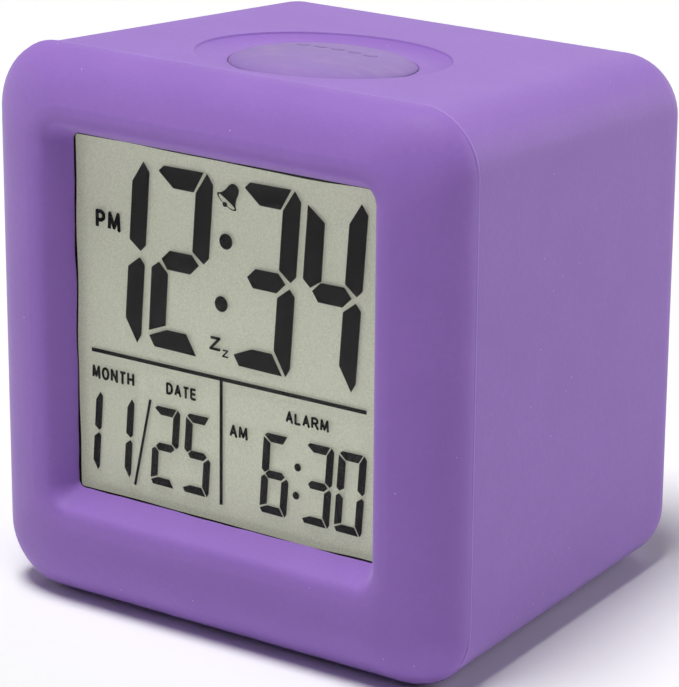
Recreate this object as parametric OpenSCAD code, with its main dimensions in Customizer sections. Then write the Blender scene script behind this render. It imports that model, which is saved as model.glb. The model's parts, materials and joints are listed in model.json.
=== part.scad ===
// Soft-skinned cube alarm clock with an LCD window, a domed snooze button and a battery bay.
// +Z is up and the front faces -Y. The origin is the middle of the footprint, on the table.

/* [Body] */
// Width across the front rim
case_w = 80; // [79:0.5:84]
// Height of the front rim
case_h = 83; // [82.5:0.5:87]
// Depth from the front face to the back lip
case_d = 70.6; // [70.6:0.2:76]
// Corner radius of the front rim's outline
rim_r = 9; // [8:0.5:12]
// How far in from the outline the pillow-shaped front begins to curve
rim_inset = 12.6; // [11:0.2:13.4]
// Depth of the parting line, where the outline is widest
rim_depth = 7.7; // [7:0.1:8.6]
// How far the rim stands proud of the sides and top
rim_step = 0.3; // [0.1:0.05:0.5]
// How much the top drops towards the back
draft_top = 4.5; // [3.5:0.1:5]
// How much each side draws in towards the back
draft_side = 2.4; // [1.5:0.1:2.6]
// Corner radius of the body behind the rim
body_r = 8.8; // [8:0.2:11]
// Rounding of the back edges
back_round = 6; // [5:0.5:7]
// Thickness of the silicone skin
skin = 2; // [1.8:0.1:2.1]
// Wall of the plastic case
wall = 1.8; // [1.5:0.1:1.9]

/* [Window] */
// Width of the clear window
window_w = 52.6; // [49:0.2:53.4]
// Height of the clear window
window_h = 53.8; // [50:0.1:54.2]
// Height of the window's middle above the table
window_z = 44.1; // [43.8:0.1:44.6]
// Depth of the window recess
window_depth = 5.5; // [5.2:0.1:5.8]
// Corner radius of the window
window_r = 1.8; // [1.4:0.1:2.6]

/* [Snooze button] */
// Distance of the button's middle from the front face
dish_y = 29.4; // [28.5:0.1:31]
// Radius of the dish round the button
dish_r = 18.4; // [17.6:0.1:18.8]
// Depth of the dish
dish_depth = 1.6; // [1.2:0.1:2.4]
// Radius of the domed button
dome_r = 13.5; // [13.2:0.1:13.6]
// Height of the dome's crown over the top face
dome_rise = 0.5; // [0:0.1:1.2]
// Travel of the snooze button
snooze_travel = 1; // [0.5:0.1:1]

/* [Rear keys] */
// Height of the row of keys above the table
key_z = 58.5; // [58:0.1:59]
// Distance between keys
key_pitch = 15; // [14:0.5:15.5]
// Travel of a key
key_travel = 0.5; // [0.25:0.05:0.5]
// Travel of the alarm slide switch
slide_travel = 2; // [1.5:0.1:2]

/* [Batteries] */
// Radius of one AAA cell
cell_r = 5.15; // [5:0.05:5.2]
// Overall length of one AAA cell
cell_len = 44.5; // [44:0.1:44.6]
// Distance between the two cells' axes
cell_pitch = 11.4; // [10.8:0.1:11.4]

/* [Hidden] */

// Fits
gap = 0.05;       // between stacked inner parts
play = 0.25;      // round a key, a door or a slider
running = 0.06;   // radial, on a pin that turns
hull_fn = 28;     // sides of a circle inside a hull
round_fn = 64;    // sides of a circle elsewhere
over = 1;         // how far a cutter runs past a face
parting = 0.4;    // width of the flat edge at the parting line

// Depths, counted back from the front face
case_face = skin + gap;
lens_y = window_depth;
lens_t = 1;
lcd_y = lens_y + lens_t + gap;
lcd_t = 2.2;
guide_y = lcd_y + lcd_t + gap;
guide_t = 2.4;
frame_end = 12.6;
board_y = 14.6;
board_t = 1.6;
cover_y = case_d - skin - wall;
cover_t = wall - gap;
pad_out = case_d - 0.8;
key_top = case_d - 0.15;

// Window stack, seen from the front
lens_size = [59.2, 60];
lcd_size = [57.6, 58.4];
guide_size = [54, 51.6];
guide_z = window_z + 1.8;
frame_size = [60.8, 61];
frame_room = 0.4;
zebra_size = [48, 2];
zebra_z = window_z - lcd_size[1] / 2 + 1.5;
lining = 2.2;
lining_room = 0.2;
// Recess wall and lip: how far they widen the window, and at which depth
lip = [[0, window_depth + over], [1, 2.2], [1.4, 1.5], [2.1, 0.85], [3.2, 0.35], [4.4, 0]];

// Main board
board_size = [69.4, 58];
board_mid_z = 43;
board_post_x = 33;
board_post_z = [22, 66];
post_r = 2.1;

// Screws: a size list is [shaft radius, length, head radius, head height]
case_screw = [1.15, 14, 2.4, 1.6];
small_screw = [0.9, 5.5, 1.7, 1.1];
screw_room = 0.05;
boss_r = 3.1;
case_screw_x = 26.5;
case_screw_z = [10.2, 68];
boss_y = 52;

// Top slope and the snooze stack, in the slope's own frame: z = 0 is the top skin
function run(y) = (y - rim_depth) / (case_d - rim_depth);
function body_half(y) = case_w / 2 - rim_step - draft_side * run(y);
function body_top(y) = case_h - rim_step - draft_top * run(y);
top_tilt = atan(draft_top / (case_d - rim_depth));
dish_steps = 6;
dish_hole_r = dome_r + 0.4;
ring_r = 19.4;
ring_bottom = -4.2;
well_floor = ring_bottom - 0.1;
well_bottom = well_floor - wall;
well_r = ring_r + 0.2;
well_hole_r = dome_r + 0.7;
dome_skirt = -5.2;
dome_edge = -1.35;
dome_inner_r = 12;
dome_inner_top = -1.75;
carrier_r = dome_inner_r - 0.1;
carrier_top = dome_inner_top - gap;
carrier_cap = 1.4;
carrier_wall = 1.5;
flange_r = well_hole_r + 1;
flange_top = well_bottom - 0.15;
flange_t = 1.05;
snooze_board_top = -14;
snooze_board_t = 1.2;
snooze_post_x = 18;
switch_side = 6;
switch_h = 3.5;
stem_r = 1.75;
stem_room = 0.1;
snooze_stem_top = snooze_board_top + switch_h + 1.5;
carrier_post_r = 2.2;
spring_r = 5.5;
spring_wire = 0.3;

// Rear panel
panel_half = 30;
panel_low = 7;
panel_high = 71;
panel_r = 5;
panel_play = 0.3;
panel_mid_z = (panel_low + panel_high) / 2;

// Battery bay and its door
bay_half = 25.2;
bay_low = 15.6;
bay_high = 38.2;
bay_floor = 57.1;
bay_wall = 1.4;
cell_y = 62.6;
cell_z = [(bay_low + bay_high - cell_pitch) / 2, (bay_low + bay_high + cell_pitch) / 2];
cell_nub_r = 1.9;
cell_nub = 0.8;
cell_start = -21.6;
contact_t = 0.4;
door_half = 27.5;
door_t = 1.4;
hinge_r = 1.1;
hinge_y = pad_out - hinge_r;
hinge_z = 15.2;
hinge_pin_r = 0.7;
hinge_pin = 1.6;
door_top = 41;
door_in = pad_out - door_t;

// Key board with its keys, slide switch and buzzer
key_count = 4;
key_x = [for (i = [0:key_count - 1]) (i - (key_count - 1) / 2) * key_pitch];
key_cap = [9, 5.6];
key_flange = [11.4, 7.6];
key_flange_t = 0.9;
key_post_r = 1.3;
key_board_top = 59.5;
key_board_t = 1.6;
key_board_low = 41.8;
key_board_high = 63.8;
key_board_half = 29.5;
key_stem_top = key_board_top + switch_h + 1.3;
key_flange_top = cover_y - 0.12;
low_row_z = 48.8;
slide_x = 14;
knob = [5, 4.4];
knob_flange = [13, 7];
knob_fork = [4, 4];
lever = [1.8, 1.5];
slide_body = [9, 4.5, 3.6];
buzzer_x = -15;
buzzer_r = 6;
buzzer_h = 5.6;
sound_hole_r = 0.8;
key_post_at = [[-27, 47], [27, 47], [0, 50.5]];

// Colours
purple = [0.55, 0.4, 0.72];
purple_plastic = [0.5, 0.36, 0.68];
off_white = [0.9, 0.9, 0.88];
board_green = [0.12, 0.42, 0.25];
steel = [0.75, 0.76, 0.78];
near_black = [0.1, 0.1, 0.11];

$fn = round_fn;

// Places the front face at the front of the footprint, so that y is depth
module from_front() {
    translate([0, -case_d / 2, 0]) children();
}

// Frame of the sloping top, with its origin at the middle of the dish
module on_top() {
    from_front()
        translate([0, dish_y, body_top(dish_y)]) rotate([-top_tilt, 0, 0]) children();
}

// Cylinder from depth y0 to depth y1
module depth_rod(r, y0, y1) {
    translate([0, y0, 0]) rotate([-90, 0, 0]) cylinder(r = r, h = y1 - y0);
}

// Box centred on x and z, from depth y0 to depth y1
module depth_box(w, h, y0, y1) {
    translate([-w / 2, y0, -h / 2]) cube([w, y1 - y0, h]);
}

// Rounded rectangle, drawn with true arcs
module rounded_2d(w, h, r) {
    square([w - 2 * r, h], center = true);
    square([w, h - 2 * r], center = true);
    for (sx = [-1, 1], sy = [-1, 1])
        translate([sx * (w / 2 - r), sy * (h / 2 - r)]) circle(r);
}

// Plate with rounded corners, standing from depth y0 to depth y1
module plate(w, h, r, y0, y1) {
    translate([0, y1, 0]) rotate([90, 0, 0]) linear_extrude(y1 - y0) rounded_2d(w, h, r);
}

// One thin rounded outline at depth y, with its lower edge at height low
module station(w, h, r, y, low, thick = 0.01) {
    for (sx = [-1, 1], z = [r, h - r])
        translate([sx * (w / 2 - r), y, low + z])
            rotate([-90, 0, 0]) cylinder(r = r, h = thick, $fn = hull_fn);
}

// Outlines of the pillow-shaped front, inset all round and starting at depth face
module front_stations(w, h, low, inset, face) {
    for (t = [0:15:75]) {
        in = inset + (rim_inset - inset) * (1 - sin(t));
        y = rim_depth - (rim_depth - face) * cos(t);
        station(w - 2 * in, h - 2 * in, max(rim_r - in, 0.5), y, low + in);
    }
    station(w - 2 * inset, h - 2 * inset, rim_r - inset, rim_depth - parting / 2, low + inset,
        parting);
}

// Outline of the body at depth y, inset all round
module body_station(y, inset) {
    station(2 * (body_half(y) - inset), body_top(y) - 2 * inset, max(body_r - inset, 0.5), y, inset);
}

// Outlines of the drafted body, ending in rounded back edges
module body_stations(inset) {
    edge = back_round - inset;
    body_station(rim_depth - 0.5, inset);
    for (t = [0:30:90])
        body_station(case_d - back_round + edge * sin(t), inset + edge * (1 - cos(t)));
}

// Solid that fills the sleeve, inset from the sleeve's outside
module filled_body(inset) {
    hull() {
        front_stations(case_w - 2 * rim_step, case_h - rim_step, 0, inset, inset);
        body_stations(inset);
    }
}

// Room inside the plastic case, open at the back
module case_room() {
    inset = skin + gap + wall;
    hull() {
        front_stations(case_w - 2 * rim_step, case_h - rim_step, 0, inset, window_depth);
        body_station(case_d, inset);
    }
}

// Screw with a pan head, its shaft running along -Y from the head's seat at the origin
module pan_screw(size) {
    depth_rod(size[0], -size[1], 0);
    difference() {
        depth_rod(size[2], 0, size[3]);
        depth_box(0.6, 2.4 * size[0], 0.4 * size[3], size[3] + over);
        depth_box(2.4 * size[0], 0.6, 0.4 * size[3], size[3] + over);
    }
}

// Round wire through a list of points
module wire(points, r) {
    bead = 1.08 * r;
    for (i = [0:len(points) - 2]) {
        step = points[i + 1] - points[i];
        translate(points[i])
            rotate([0, acos(step[2] / norm(step)), atan2(step[1], step[0])])
                cylinder(r = r, h = norm(step), $fn = 24);
    }
    for (i = [1:len(points) - 2])
        translate(points[i]) sphere(bead, $fn = 24);
}

// Coil spring along +Z from radius r0 to radius r1
module coil(r0, r1, length, turns, wire_r) {
    sides = 6;
    steps = turns * 16;
    points = [for (i = [0:steps], j = [0:sides - 1])
        let (a = 360 * turns * i / steps, r = r0 + (r1 - r0) * i / steps, b = 360 * j / sides)
            [(r + wire_r * cos(b)) * cos(a), (r + wire_r * cos(b)) * sin(a),
             wire_r + (length - 2 * wire_r) * i / steps + wire_r * sin(b)]];
    quads = [for (i = [0:steps - 1], j = [0:sides - 1])
        let (k = (j + 1) % sides)
            [i * sides + j, i * sides + k, (i + 1) * sides + k, (i + 1) * sides + j]];
    start = [for (j = [sides - 1:-1:0]) j];
    end = [for (j = [0:sides - 1]) steps * sides + j];
    polyhedron(points, concat([start], quads, [end]));
}

// Outer silicone skin: pillow front with a lined window, drafted body, back lip and dish
module silicone_sleeve() {
    lining_w = window_w + 2 * lining;
    lining_h = window_h + 2 * lining;
    color(purple) {
        difference() {
            union() {
                difference() {
                    from_front() union() {
                        hull() front_stations(case_w, case_h, 0, 0, 0);
                        hull() body_stations(0);
                    }
                    from_front() filled_body(skin);
                }
                from_front() translate([0, 0, window_z])
                    plate(lining_w, lining_h, window_r + lining, skin / 2, window_depth - gap);
                on_top() translate([0, 0, ring_bottom]) cylinder(r = ring_r, h = -ring_bottom - 1);
            }
            from_front() for (i = [1:len(lip) - 1])
                hull() {
                    window_station(lip[i - 1]);
                    window_station(lip[i]);
                }
            on_top() dish_cut();
            from_front() translate([0, 0, panel_mid_z])
                plate(2 * panel_half, panel_high - panel_low, panel_r, case_d - skin - over,
                    case_d + over);
        }
    }
}

// Outline of the window, widened on each side, at a pair [how much, depth]
module window_station(at) {
    station(window_w + 2 * at[0], window_h + 2 * at[0], window_r + at[0], at[1],
        window_z - window_h / 2 - at[0]);
}

// Dish round the button, deepest at the hole, and the hole itself
module dish_cut() {
    slope = [for (i = [0:dish_steps])
        let (u = 1 - i / dish_steps)
            [dish_hole_r + (dish_r - dish_hole_r) * u, -dish_depth * (1 - u * u)]];
    rotate_extrude() polygon(concat([[0, over], [dish_r, over]], slope,
        [[dish_hole_r, ring_bottom - over], [0, ring_bottom - over]]));
}

// Plastic case that the skin is stretched over, open at the back
module front_case() {
    color(purple_plastic) {
        difference() {
            union() {
                difference() {
                    from_front() filled_body(case_face);
                    from_front() case_room();
                    from_front() translate([0, 0, case_h / 2])
                        depth_box(2 * case_w, 2 * case_h, cover_y, case_d + over);
                }
                on_top() translate([0, 0, well_bottom])
                    cylinder(r = well_r + wall, h = -well_bottom - case_face - wall / 2);
                on_top() for (sx = [-1, 1])
                    translate([sx * snooze_post_x, 0, snooze_board_top])
                        cylinder(r = post_r, h = well_bottom - snooze_board_top + gap);
                from_front() case_bosses();
                from_front() board_posts();
            }
            from_front() translate([0, 0, window_z]) {
                plate(frame_size[0] + frame_room, frame_size[1] + frame_room, 1, window_depth,
                    frame_end);
                plate(window_w + 2 * lining + lining_room, window_h + 2 * lining + lining_room,
                    window_r + lining, 0, window_depth + over);
            }
            on_top() {
                translate([0, 0, well_floor]) cylinder(r = well_r, h = -well_floor + over);
                translate([0, 0, well_bottom - over]) cylinder(r = well_hole_r, h = -well_bottom);
                for (sx = [-1, 1])
                    translate([sx * snooze_post_x, 0, snooze_board_top - over])
                        cylinder(r = small_screw[0] + screw_room, h = small_screw[1] + over);
            }
            from_front() for (sx = [-1, 1], z = case_screw_z)
                translate([sx * case_screw_x, 0, z])
                    depth_rod(case_screw[0] + screw_room, boss_y - over, cover_y + over);
            from_front() for (sx = [-1, 1], z = board_post_z)
                translate([sx * board_post_x, 0, z])
                    depth_rod(small_screw[0] + screw_room, board_y - small_screw[1], board_y + over);
        }
    }
}

// Bosses for the rear screws, each with a rib to the side wall
module case_bosses() {
    for (sx = [-1, 1], z = case_screw_z)
        translate([sx * case_screw_x, 0, z]) {
            depth_rod(boss_r, boss_y, cover_y);
            translate([sx * 4, 0, 0]) depth_box(8.4, wall, boss_y, cover_y);
        }
}

// Posts that hold the main board
module board_posts() {
    for (sx = [-1, 1], z = board_post_z)
        translate([sx * board_post_x, 0, z]) depth_rod(post_r, window_depth - over, board_y);
}

// Clear window in front of the display
module window_lens() {
    color([0.85, 0.9, 0.9, 0.4]) from_front() translate([0, 0, window_z])
        plate(lens_size[0], lens_size[1], 1, lens_y, lens_y + lens_t);
}

// Display glass
module lcd_glass() {
    color([0.66, 0.68, 0.62]) from_front() translate([0, 0, window_z])
        plate(lcd_size[0], lcd_size[1], 0.5, lcd_y, lcd_y + lcd_t);
}

// White frame that holds the display and the light guide
module lcd_frame() {
    color(off_white) from_front() difference() {
        translate([0, 0, window_z]) {
            plate(frame_size[0], frame_size[1], 0.8, lcd_y, frame_end);
            for (sx = [-1, 1], sz = [-1, 1])
                translate([sx * (frame_size[0] / 2 - 2), 0, sz * (frame_size[1] / 2 - 5)])
                    depth_rod(1.6, frame_end - over, board_y);
        }
        translate([0, 0, window_z])
            depth_box(lcd_size[0] + 0.2, lcd_size[1] + 0.2, lcd_y - over, lcd_y + lcd_t + gap / 2);
        translate([0, 0, guide_z])
            depth_box(guide_size[0] + 0.3, guide_size[1] + 0.3, lcd_y, guide_y + guide_t + gap);
        translate([0, 0, zebra_z])
            depth_box(zebra_size[0] + 0.3, zebra_size[1] + 0.3, lcd_y, frame_end + over);
        translate([guide_size[0] / 2 + 1.2, 0, window_z])
            depth_box(3, 5, guide_y - gap, frame_end + over);
    }
}

// Acrylic light guide behind the display
module light_guide() {
    color([0.9, 0.92, 0.95, 0.6]) from_front() translate([0, 0, guide_z])
        plate(guide_size[0], guide_size[1], 0.5, guide_y, guide_y + guide_t);
}

// Light source at the side of the light guide, standing on the main board
module backlight_led() {
    led_back = guide_y + guide_t;
    color(off_white) from_front() translate([guide_size[0] / 2 + 1.25, 0, window_z]) {
        depth_box(2, 3.5, guide_y + gap, led_back);
        for (sz = [-1, 1])
            translate([0, 0, sz]) depth_rod(0.25, led_back - gap, board_y);
    }
}

// Elastomer strip that joins the display to the main board
module zebra_strip() {
    color([0.85, 0.6, 0.65]) from_front() translate([0, 0, zebra_z])
        depth_box(zebra_size[0], zebra_size[1], lcd_y + lcd_t + gap / 2, board_y);
}

// Main circuit board
module main_board() {
    color(board_green) from_front() difference() {
        translate([0, 0, board_mid_z])
            plate(board_size[0], board_size[1], 3, board_y, board_y + board_t);
        for (sx = [-1, 1], z = board_post_z)
            translate([sx * board_post_x, 0, z])
                depth_rod(small_screw[0] + 0.15, board_y - over, board_y + board_t + over);
    }
}

// Potting compound over the clock chip
module chip_blob() {
    blob_r = 8;
    blob_h = 1.8;
    color(near_black) from_front() translate([-6, board_y + board_t, 52]) rotate([-90, 0, 0])
        rotate_extrude() intersection() {
            translate([0, -(blob_r * blob_r - blob_h * blob_h) / (2 * blob_h)])
                circle((blob_r * blob_r + blob_h * blob_h) / (2 * blob_h), $fn = 96);
            square([blob_r, blob_h]);
        }
}

// Watch crystal, lying on the main board
module quartz_crystal() {
    can_r = 1;
    back = board_y + board_t;
    color(steel) from_front() translate([10, back + can_r, 40]) {
        cylinder(r = can_r, h = 6);
        for (sx = [-1, 1])
            translate([sx * 0.35, 0, -2.5]) cylinder(r = 0.15, h = 2.6, $fn = 16);
    }
}

// Resistors, capacitors and the cable sockets on the main board
module board_parts() {
    back = board_y + board_t;
    color([0.72, 0.62, 0.45]) from_front() {
        for (i = [0:5])
            translate([-26 + 5 * i, 0, 26 + 3 * (i % 2)]) depth_box(2, 1.25, back, back + 0.6);
        for (i = [0:3])
            translate([16 + 4 * i, 0, 60 - 3 * (i % 2)]) depth_box(1.25, 2, back, back + 0.9);
        translate([-20, 0, 38]) depth_rod(2.5, back, back + 5.5);
        translate([20, 0, 50]) depth_box(12, 4, back, back + 1.8);
    }
}

// Screws that hold the main board to the case
module board_screws() {
    color(steel) from_front() for (sx = [-1, 1], z = board_post_z)
        translate([sx * board_post_x, board_y + board_t, z]) pan_screw(small_screw);
}

// Silicone cap of the snooze button: a low dome with a rolled edge
module snooze_dome() {
    crown_r = dome_r - 1.2;
    crown_low = dome_edge + 1.1;
    crown_high = dome_rise - crown_low;
    color(purple) on_top() difference() {
        rotate_extrude() {
            polygon(concat(
                [[0, dome_skirt], [dome_r, dome_skirt], [dome_r, dome_edge]],
                [for (t = [15:15:90]) [crown_r + 1.2 * cos(t), dome_edge + 1.1 * sin(t)]],
                [for (i = [1:8])
                    let (x = crown_r * (1 - i / 8))
                        [x, crown_low + crown_high * (1 - pow(x / crown_r, 2))]]));
        }
        translate([0, 0, dome_skirt - over])
            cylinder(r = dome_inner_r, h = dome_inner_top - dome_skirt + over);
    }
}

// Plastic carrier inside the cap, with the flange that stops it lifting out
module snooze_carrier() {
    color(purple_plastic) on_top() {
        difference() {
            union() {
                translate([0, 0, flange_top - flange_t])
                    cylinder(r = carrier_r, h = carrier_top - flange_top + flange_t);
                translate([0, 0, flange_top - flange_t]) cylinder(r = flange_r, h = flange_t);
            }
            translate([0, 0, flange_top - flange_t - over])
                cylinder(r = carrier_r - carrier_wall,
                    h = carrier_top - carrier_cap - flange_top + flange_t + over);
        }
        translate([0, 0, snooze_stem_top])
            cylinder(r = carrier_post_r, h = carrier_top - carrier_cap - snooze_stem_top + gap);
    }
}

// Return spring of the snooze button
module snooze_spring() {
    color(steel) on_top() translate([0, 0, snooze_board_top + gap])
        coil(spring_r, spring_r, carrier_top - carrier_cap - snooze_board_top - 2 * gap, 5,
            spring_wire);
}

// Body of a push switch, standing along +Z from the origin, with room for its stem
module switch_body(room) {
    difference() {
        translate([-switch_side / 2, -switch_side / 2, 0]) cube([switch_side, switch_side, switch_h]);
        translate([0, 0, switch_h - room]) cylinder(r = stem_r + stem_room, h = room + over);
    }
}

// Push switch under the snooze button
module snooze_switch() {
    color(near_black) on_top() translate([0, 0, snooze_board_top]) switch_body(2.4);
}

// Stem of the snooze switch
module snooze_switch_stem() {
    color(off_white) on_top() translate([0, 0, snooze_stem_top - 2.6]) cylinder(r = stem_r, h = 2.6);
}

// Small board that carries the snooze switch
module snooze_board() {
    color(board_green) on_top() difference() {
        translate([0, 0, snooze_board_top - snooze_board_t])
            linear_extrude(snooze_board_t) rounded_2d(2 * snooze_post_x + 6, 14, 2);
        for (sx = [-1, 1])
            translate([sx * snooze_post_x, 0, snooze_board_top - snooze_board_t - over])
                cylinder(r = small_screw[0] + 0.15, h = snooze_board_t + 2 * over);
    }
}

// Screws that hold the snooze board
module snooze_board_screws() {
    color(steel) on_top() for (sx = [-1, 1])
        translate([sx * snooze_post_x, 0, snooze_board_top - snooze_board_t])
            rotate([-90, 0, 0]) pan_screw(small_screw);
}

// Two wires from the snooze board to the main board
module snooze_leads() {
    back = board_y + board_t;
    start_z = body_top(dish_y) + snooze_board_top - snooze_board_t - 0.2;
    color([0.8, 0.8, 0.82]) from_front() for (x = [7, 9])
        wire([[x, dish_y - 4, start_z], [x, dish_y - 4, start_z - 3], [x, back + 4, start_z - 6],
              [x, back, start_z - 6]], 0.45);
}

// Rear panel with the battery bay, key holes, slider slot and sound holes
module rear_cover() {
    pad_w = 2 * (panel_half - panel_play);
    pad_h = panel_high - panel_low - 2 * panel_play;
    bay_w = 2 * bay_half;
    bay_h = bay_high - bay_low;
    bay_z = (bay_low + bay_high) / 2;
    color(purple_plastic) from_front() difference() {
        union() {
            intersection() {
                filled_body(case_face);
                translate([0, 0, case_h / 2]) depth_box(2 * case_w, 2 * case_h, cover_y, case_d);
            }
            translate([0, 0, panel_mid_z])
                plate(pad_w, pad_h, panel_r - panel_play, cover_y + over, pad_out);
            translate([0, 0, bay_z])
                depth_box(bay_w + 2 * bay_wall, bay_h + 2 * bay_wall, bay_floor - bay_wall,
                    cover_y + over);
            for (at = key_post_at)
                translate([at[0], 0, at[1]]) depth_rod(post_r, key_board_top, cover_y + over);
        }
        translate([0, 0, bay_z]) depth_box(bay_w, bay_h, bay_floor, case_d);
        translate([0, 0, (hinge_z + door_top) / 2])
            depth_box(2 * (door_half + play), door_top - hinge_z + 2 * play, door_in, case_d);
        translate([-door_half - play, hinge_y, hinge_z]) rotate([0, 90, 0])
            cylinder(r = hinge_r + play, h = 2 * (door_half + play));
        translate([0, 0, hinge_z])
            depth_box(2 * (door_half + play), 2 * (hinge_r + play), hinge_y, case_d);
        translate([-door_half - hinge_pin - play, hinge_y, hinge_z]) rotate([0, 90, 0])
            cylinder(r = hinge_pin_r + running, h = 2 * (door_half + hinge_pin + play));
        translate([0, 0, door_top - 1]) depth_box(12, 5.4, door_in - 1.2, case_d);
        for (x = key_x)
            translate([x, 0, key_z])
                plate(key_cap[0] + 2 * play, key_cap[1] + 2 * play, key_cap[1] / 2 + play - 0.01,
                    cover_y - over, case_d);
        translate([slide_x, 0, low_row_z])
            depth_box(knob[0] + slide_travel + 2 * play, knob[1] + 2 * play, cover_y - over, case_d);
        translate([buzzer_x, 0, low_row_z]) sound_holes();
        for (sx = [-1, 1], z = case_screw_z)
            translate([sx * case_screw_x, 0, z]) {
                depth_rod(case_screw[0] + 0.15, cover_y - over, case_d);
                depth_rod(case_screw[2] + play, cover_y + 0.8, case_d);
            }
        for (at = key_post_at)
            translate([at[0], 0, at[1]])
                depth_rod(small_screw[0] + screw_room, key_board_top - over,
                    key_board_top + small_screw[1]);
        for (z = cell_z)
            translate([bay_half - 0.3, 0, z])
                depth_box(0.8, 3.4, bay_floor - bay_wall - over, bay_floor + over);
    }
}

// Pattern of small holes that lets the buzzer be heard
module sound_holes() {
    depth_rod(sound_hole_r, cover_y - over, case_d);
    for (a = [0:60:300])
        rotate([0, a, 0]) translate([3, 0, 0]) depth_rod(sound_hole_r, cover_y - over, case_d);
}

// Four screws that close the case
module case_screws() {
    color(steel) from_front() for (sx = [-1, 1], z = case_screw_z)
        translate([sx * case_screw_x, cover_y + 0.8, z]) pan_screw(case_screw);
}

// Battery door, hinged on two pins along its lower edge
module battery_door() {
    grip_w = 9;
    color(purple_plastic) from_front() {
        difference() {
            translate([0, 0, (hinge_z + door_top) / 2])
                depth_box(2 * door_half, door_top - hinge_z, door_in, pad_out);
            for (i = [0:2])
                translate([0, 0, door_top - 5 - 1.6 * i])
                    depth_box(grip_w, 0.8, pad_out - 0.4, case_d);
        }
        translate([-door_half, hinge_y, hinge_z]) rotate([0, 90, 0])
            cylinder(r = hinge_r, h = 2 * door_half);
        translate([-door_half - hinge_pin, hinge_y, hinge_z]) rotate([0, 90, 0])
            cylinder(r = hinge_pin_r, h = 2 * (door_half + hinge_pin));
        translate([0, 0, door_top - 0.6]) depth_box(grip_w, 2.4, door_in - 0.7, door_in + 0.3);
    }
}

// One AAA cell with its positive end towards +X
module aaa_cell() {
    can = cell_len - cell_nub;
    rotate([0, 90, 0]) rotate_extrude()
        polygon([[0, 0], [cell_r - 1, 0], [cell_r - 0.6, 0.3], [cell_r - 0.05, 0.3], [cell_r, 0.6],
            [cell_r, can - 0.8], [cell_r - 0.5, can - 0.2], [cell_nub_r + 1.2, can],
            [cell_nub_r, can], [cell_nub_r, cell_len], [0, cell_len]]);
}

// Lower cell, positive end towards +X
module battery_cell_1() {
    color([0.2, 0.22, 0.25]) from_front() translate([cell_start, cell_y, cell_z[0]]) aaa_cell();
}

// Upper cell, positive end towards -X
module battery_cell_2() {
    color([0.2, 0.22, 0.25]) from_front() translate([-cell_start, cell_y, cell_z[1]])
        mirror([1, 0, 0]) aaa_cell();
}

// Contact plate in the YZ plane with its outer face at x = 0, its metal towards -X
module contact_plate() {
    translate([-contact_t, cell_y - 4, -4]) cube([contact_t, 8, 8]);
}

// Spring contact reaching from a plate at x = 0 towards -X
module contact_coil() {
    reach = bay_half - contact_t + cell_start - gap;
    translate([-contact_t + gap, cell_y, 0]) rotate([0, -90, 0]) coil(3.2, 1.9, reach, 3, 0.25);
}

// Raised contact reaching from a plate at x = 0 to the cell's nub
module contact_dimple() {
    reach = bay_half - contact_t - (cell_start + cell_len) - gap;
    translate([-contact_t - reach, cell_y, 0]) rotate([0, 90, 0])
        cylinder(r1 = 1.4, r2 = 2.6, h = reach + 0.01);
}

// Solder tail that leaves the bay towards the front
module contact_tail() {
    translate([-contact_t, bay_floor - bay_wall - 2, -1.5]) cube([contact_t, 8, 3]);
}

// Contact that joins the two cells at the left end of the bay
module battery_bridge() {
    color(steel) from_front() mirror([1, 0, 0]) translate([bay_half - gap, 0, 0]) {
        translate([0, 0, cell_z[0]]) {
            contact_plate();
            contact_coil();
        }
        translate([0, 0, cell_z[1]]) {
            contact_plate();
            contact_dimple();
        }
        translate([-contact_t, cell_y - 2, cell_z[0]]) cube([contact_t, 4, cell_pitch]);
    }
}

// Contact at the lower cell's positive end
module battery_plus_contact() {
    color(steel) from_front() translate([bay_half - gap, 0, cell_z[0]]) {
        contact_plate();
        contact_dimple();
        contact_tail();
    }
}

// Contact at the upper cell's negative end
module battery_minus_contact() {
    color(steel) from_front() translate([bay_half - gap, 0, cell_z[1]]) {
        contact_plate();
        contact_coil();
        contact_tail();
    }
}

// Lead from a battery contact's tail to the main board, with one step up
module battery_lead(z) {
    back = board_y + board_t;
    tail_end = bay_floor - bay_wall - 2;
    jog = 6;
    x = bay_half - gap - contact_t / 2;
    from_front() wire([[x, tail_end, z], [x, tail_end - jog, z],
        [x, tail_end - 2 * jog, z + jog], [x, back, z + jog]], 0.6);
}

// Red lead
module battery_lead_red() {
    color("red") battery_lead(cell_z[0]);
}

// Black lead
module battery_lead_black() {
    color(near_black) battery_lead(cell_z[1]);
}

// Board behind the rear panel, with the keys' switches
module key_board() {
    color(board_green) from_front() difference() {
        translate([0, 0, (key_board_low + key_board_high) / 2])
            plate(2 * key_board_half, key_board_high - key_board_low, 1.5,
                key_board_top - key_board_t, key_board_top);
        for (at = key_post_at)
            translate([at[0], 0, at[1]])
                depth_rod(small_screw[0] + 0.15, key_board_top - key_board_t - over,
                    key_board_top + over);
    }
}

// Screws that hold the key board to the rear panel
module key_board_screws() {
    color(steel) from_front() for (at = key_post_at)
        translate([at[0], key_board_top - key_board_t, at[1]])
            mirror([0, 1, 0]) pan_screw(small_screw);
}

// Bodies of the four push switches under the keys
module key_switches() {
    color(near_black) from_front() for (x = key_x)
        translate([x, key_board_top, key_z]) rotate([-90, 0, 0]) switch_body(2);
}

// Key with an oval cap, a flange behind the panel and a post on the switch
module key(x) {
    color(purple) from_front() translate([x, 0, key_z]) {
        plate(key_cap[0], key_cap[1], key_cap[1] / 2 - 0.01, key_flange_top - 0.1, key_top);
        plate(key_flange[0], key_flange[1], 1, key_flange_top - key_flange_t, key_flange_top);
        depth_rod(key_post_r, key_stem_top, key_flange_top);
    }
}

module key_mode() {
    key(key_x[0]);
}

module key_set() {
    key(key_x[1]);
}

module key_up() {
    key(key_x[2]);
}

module key_down() {
    key(key_x[3]);
}

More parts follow.
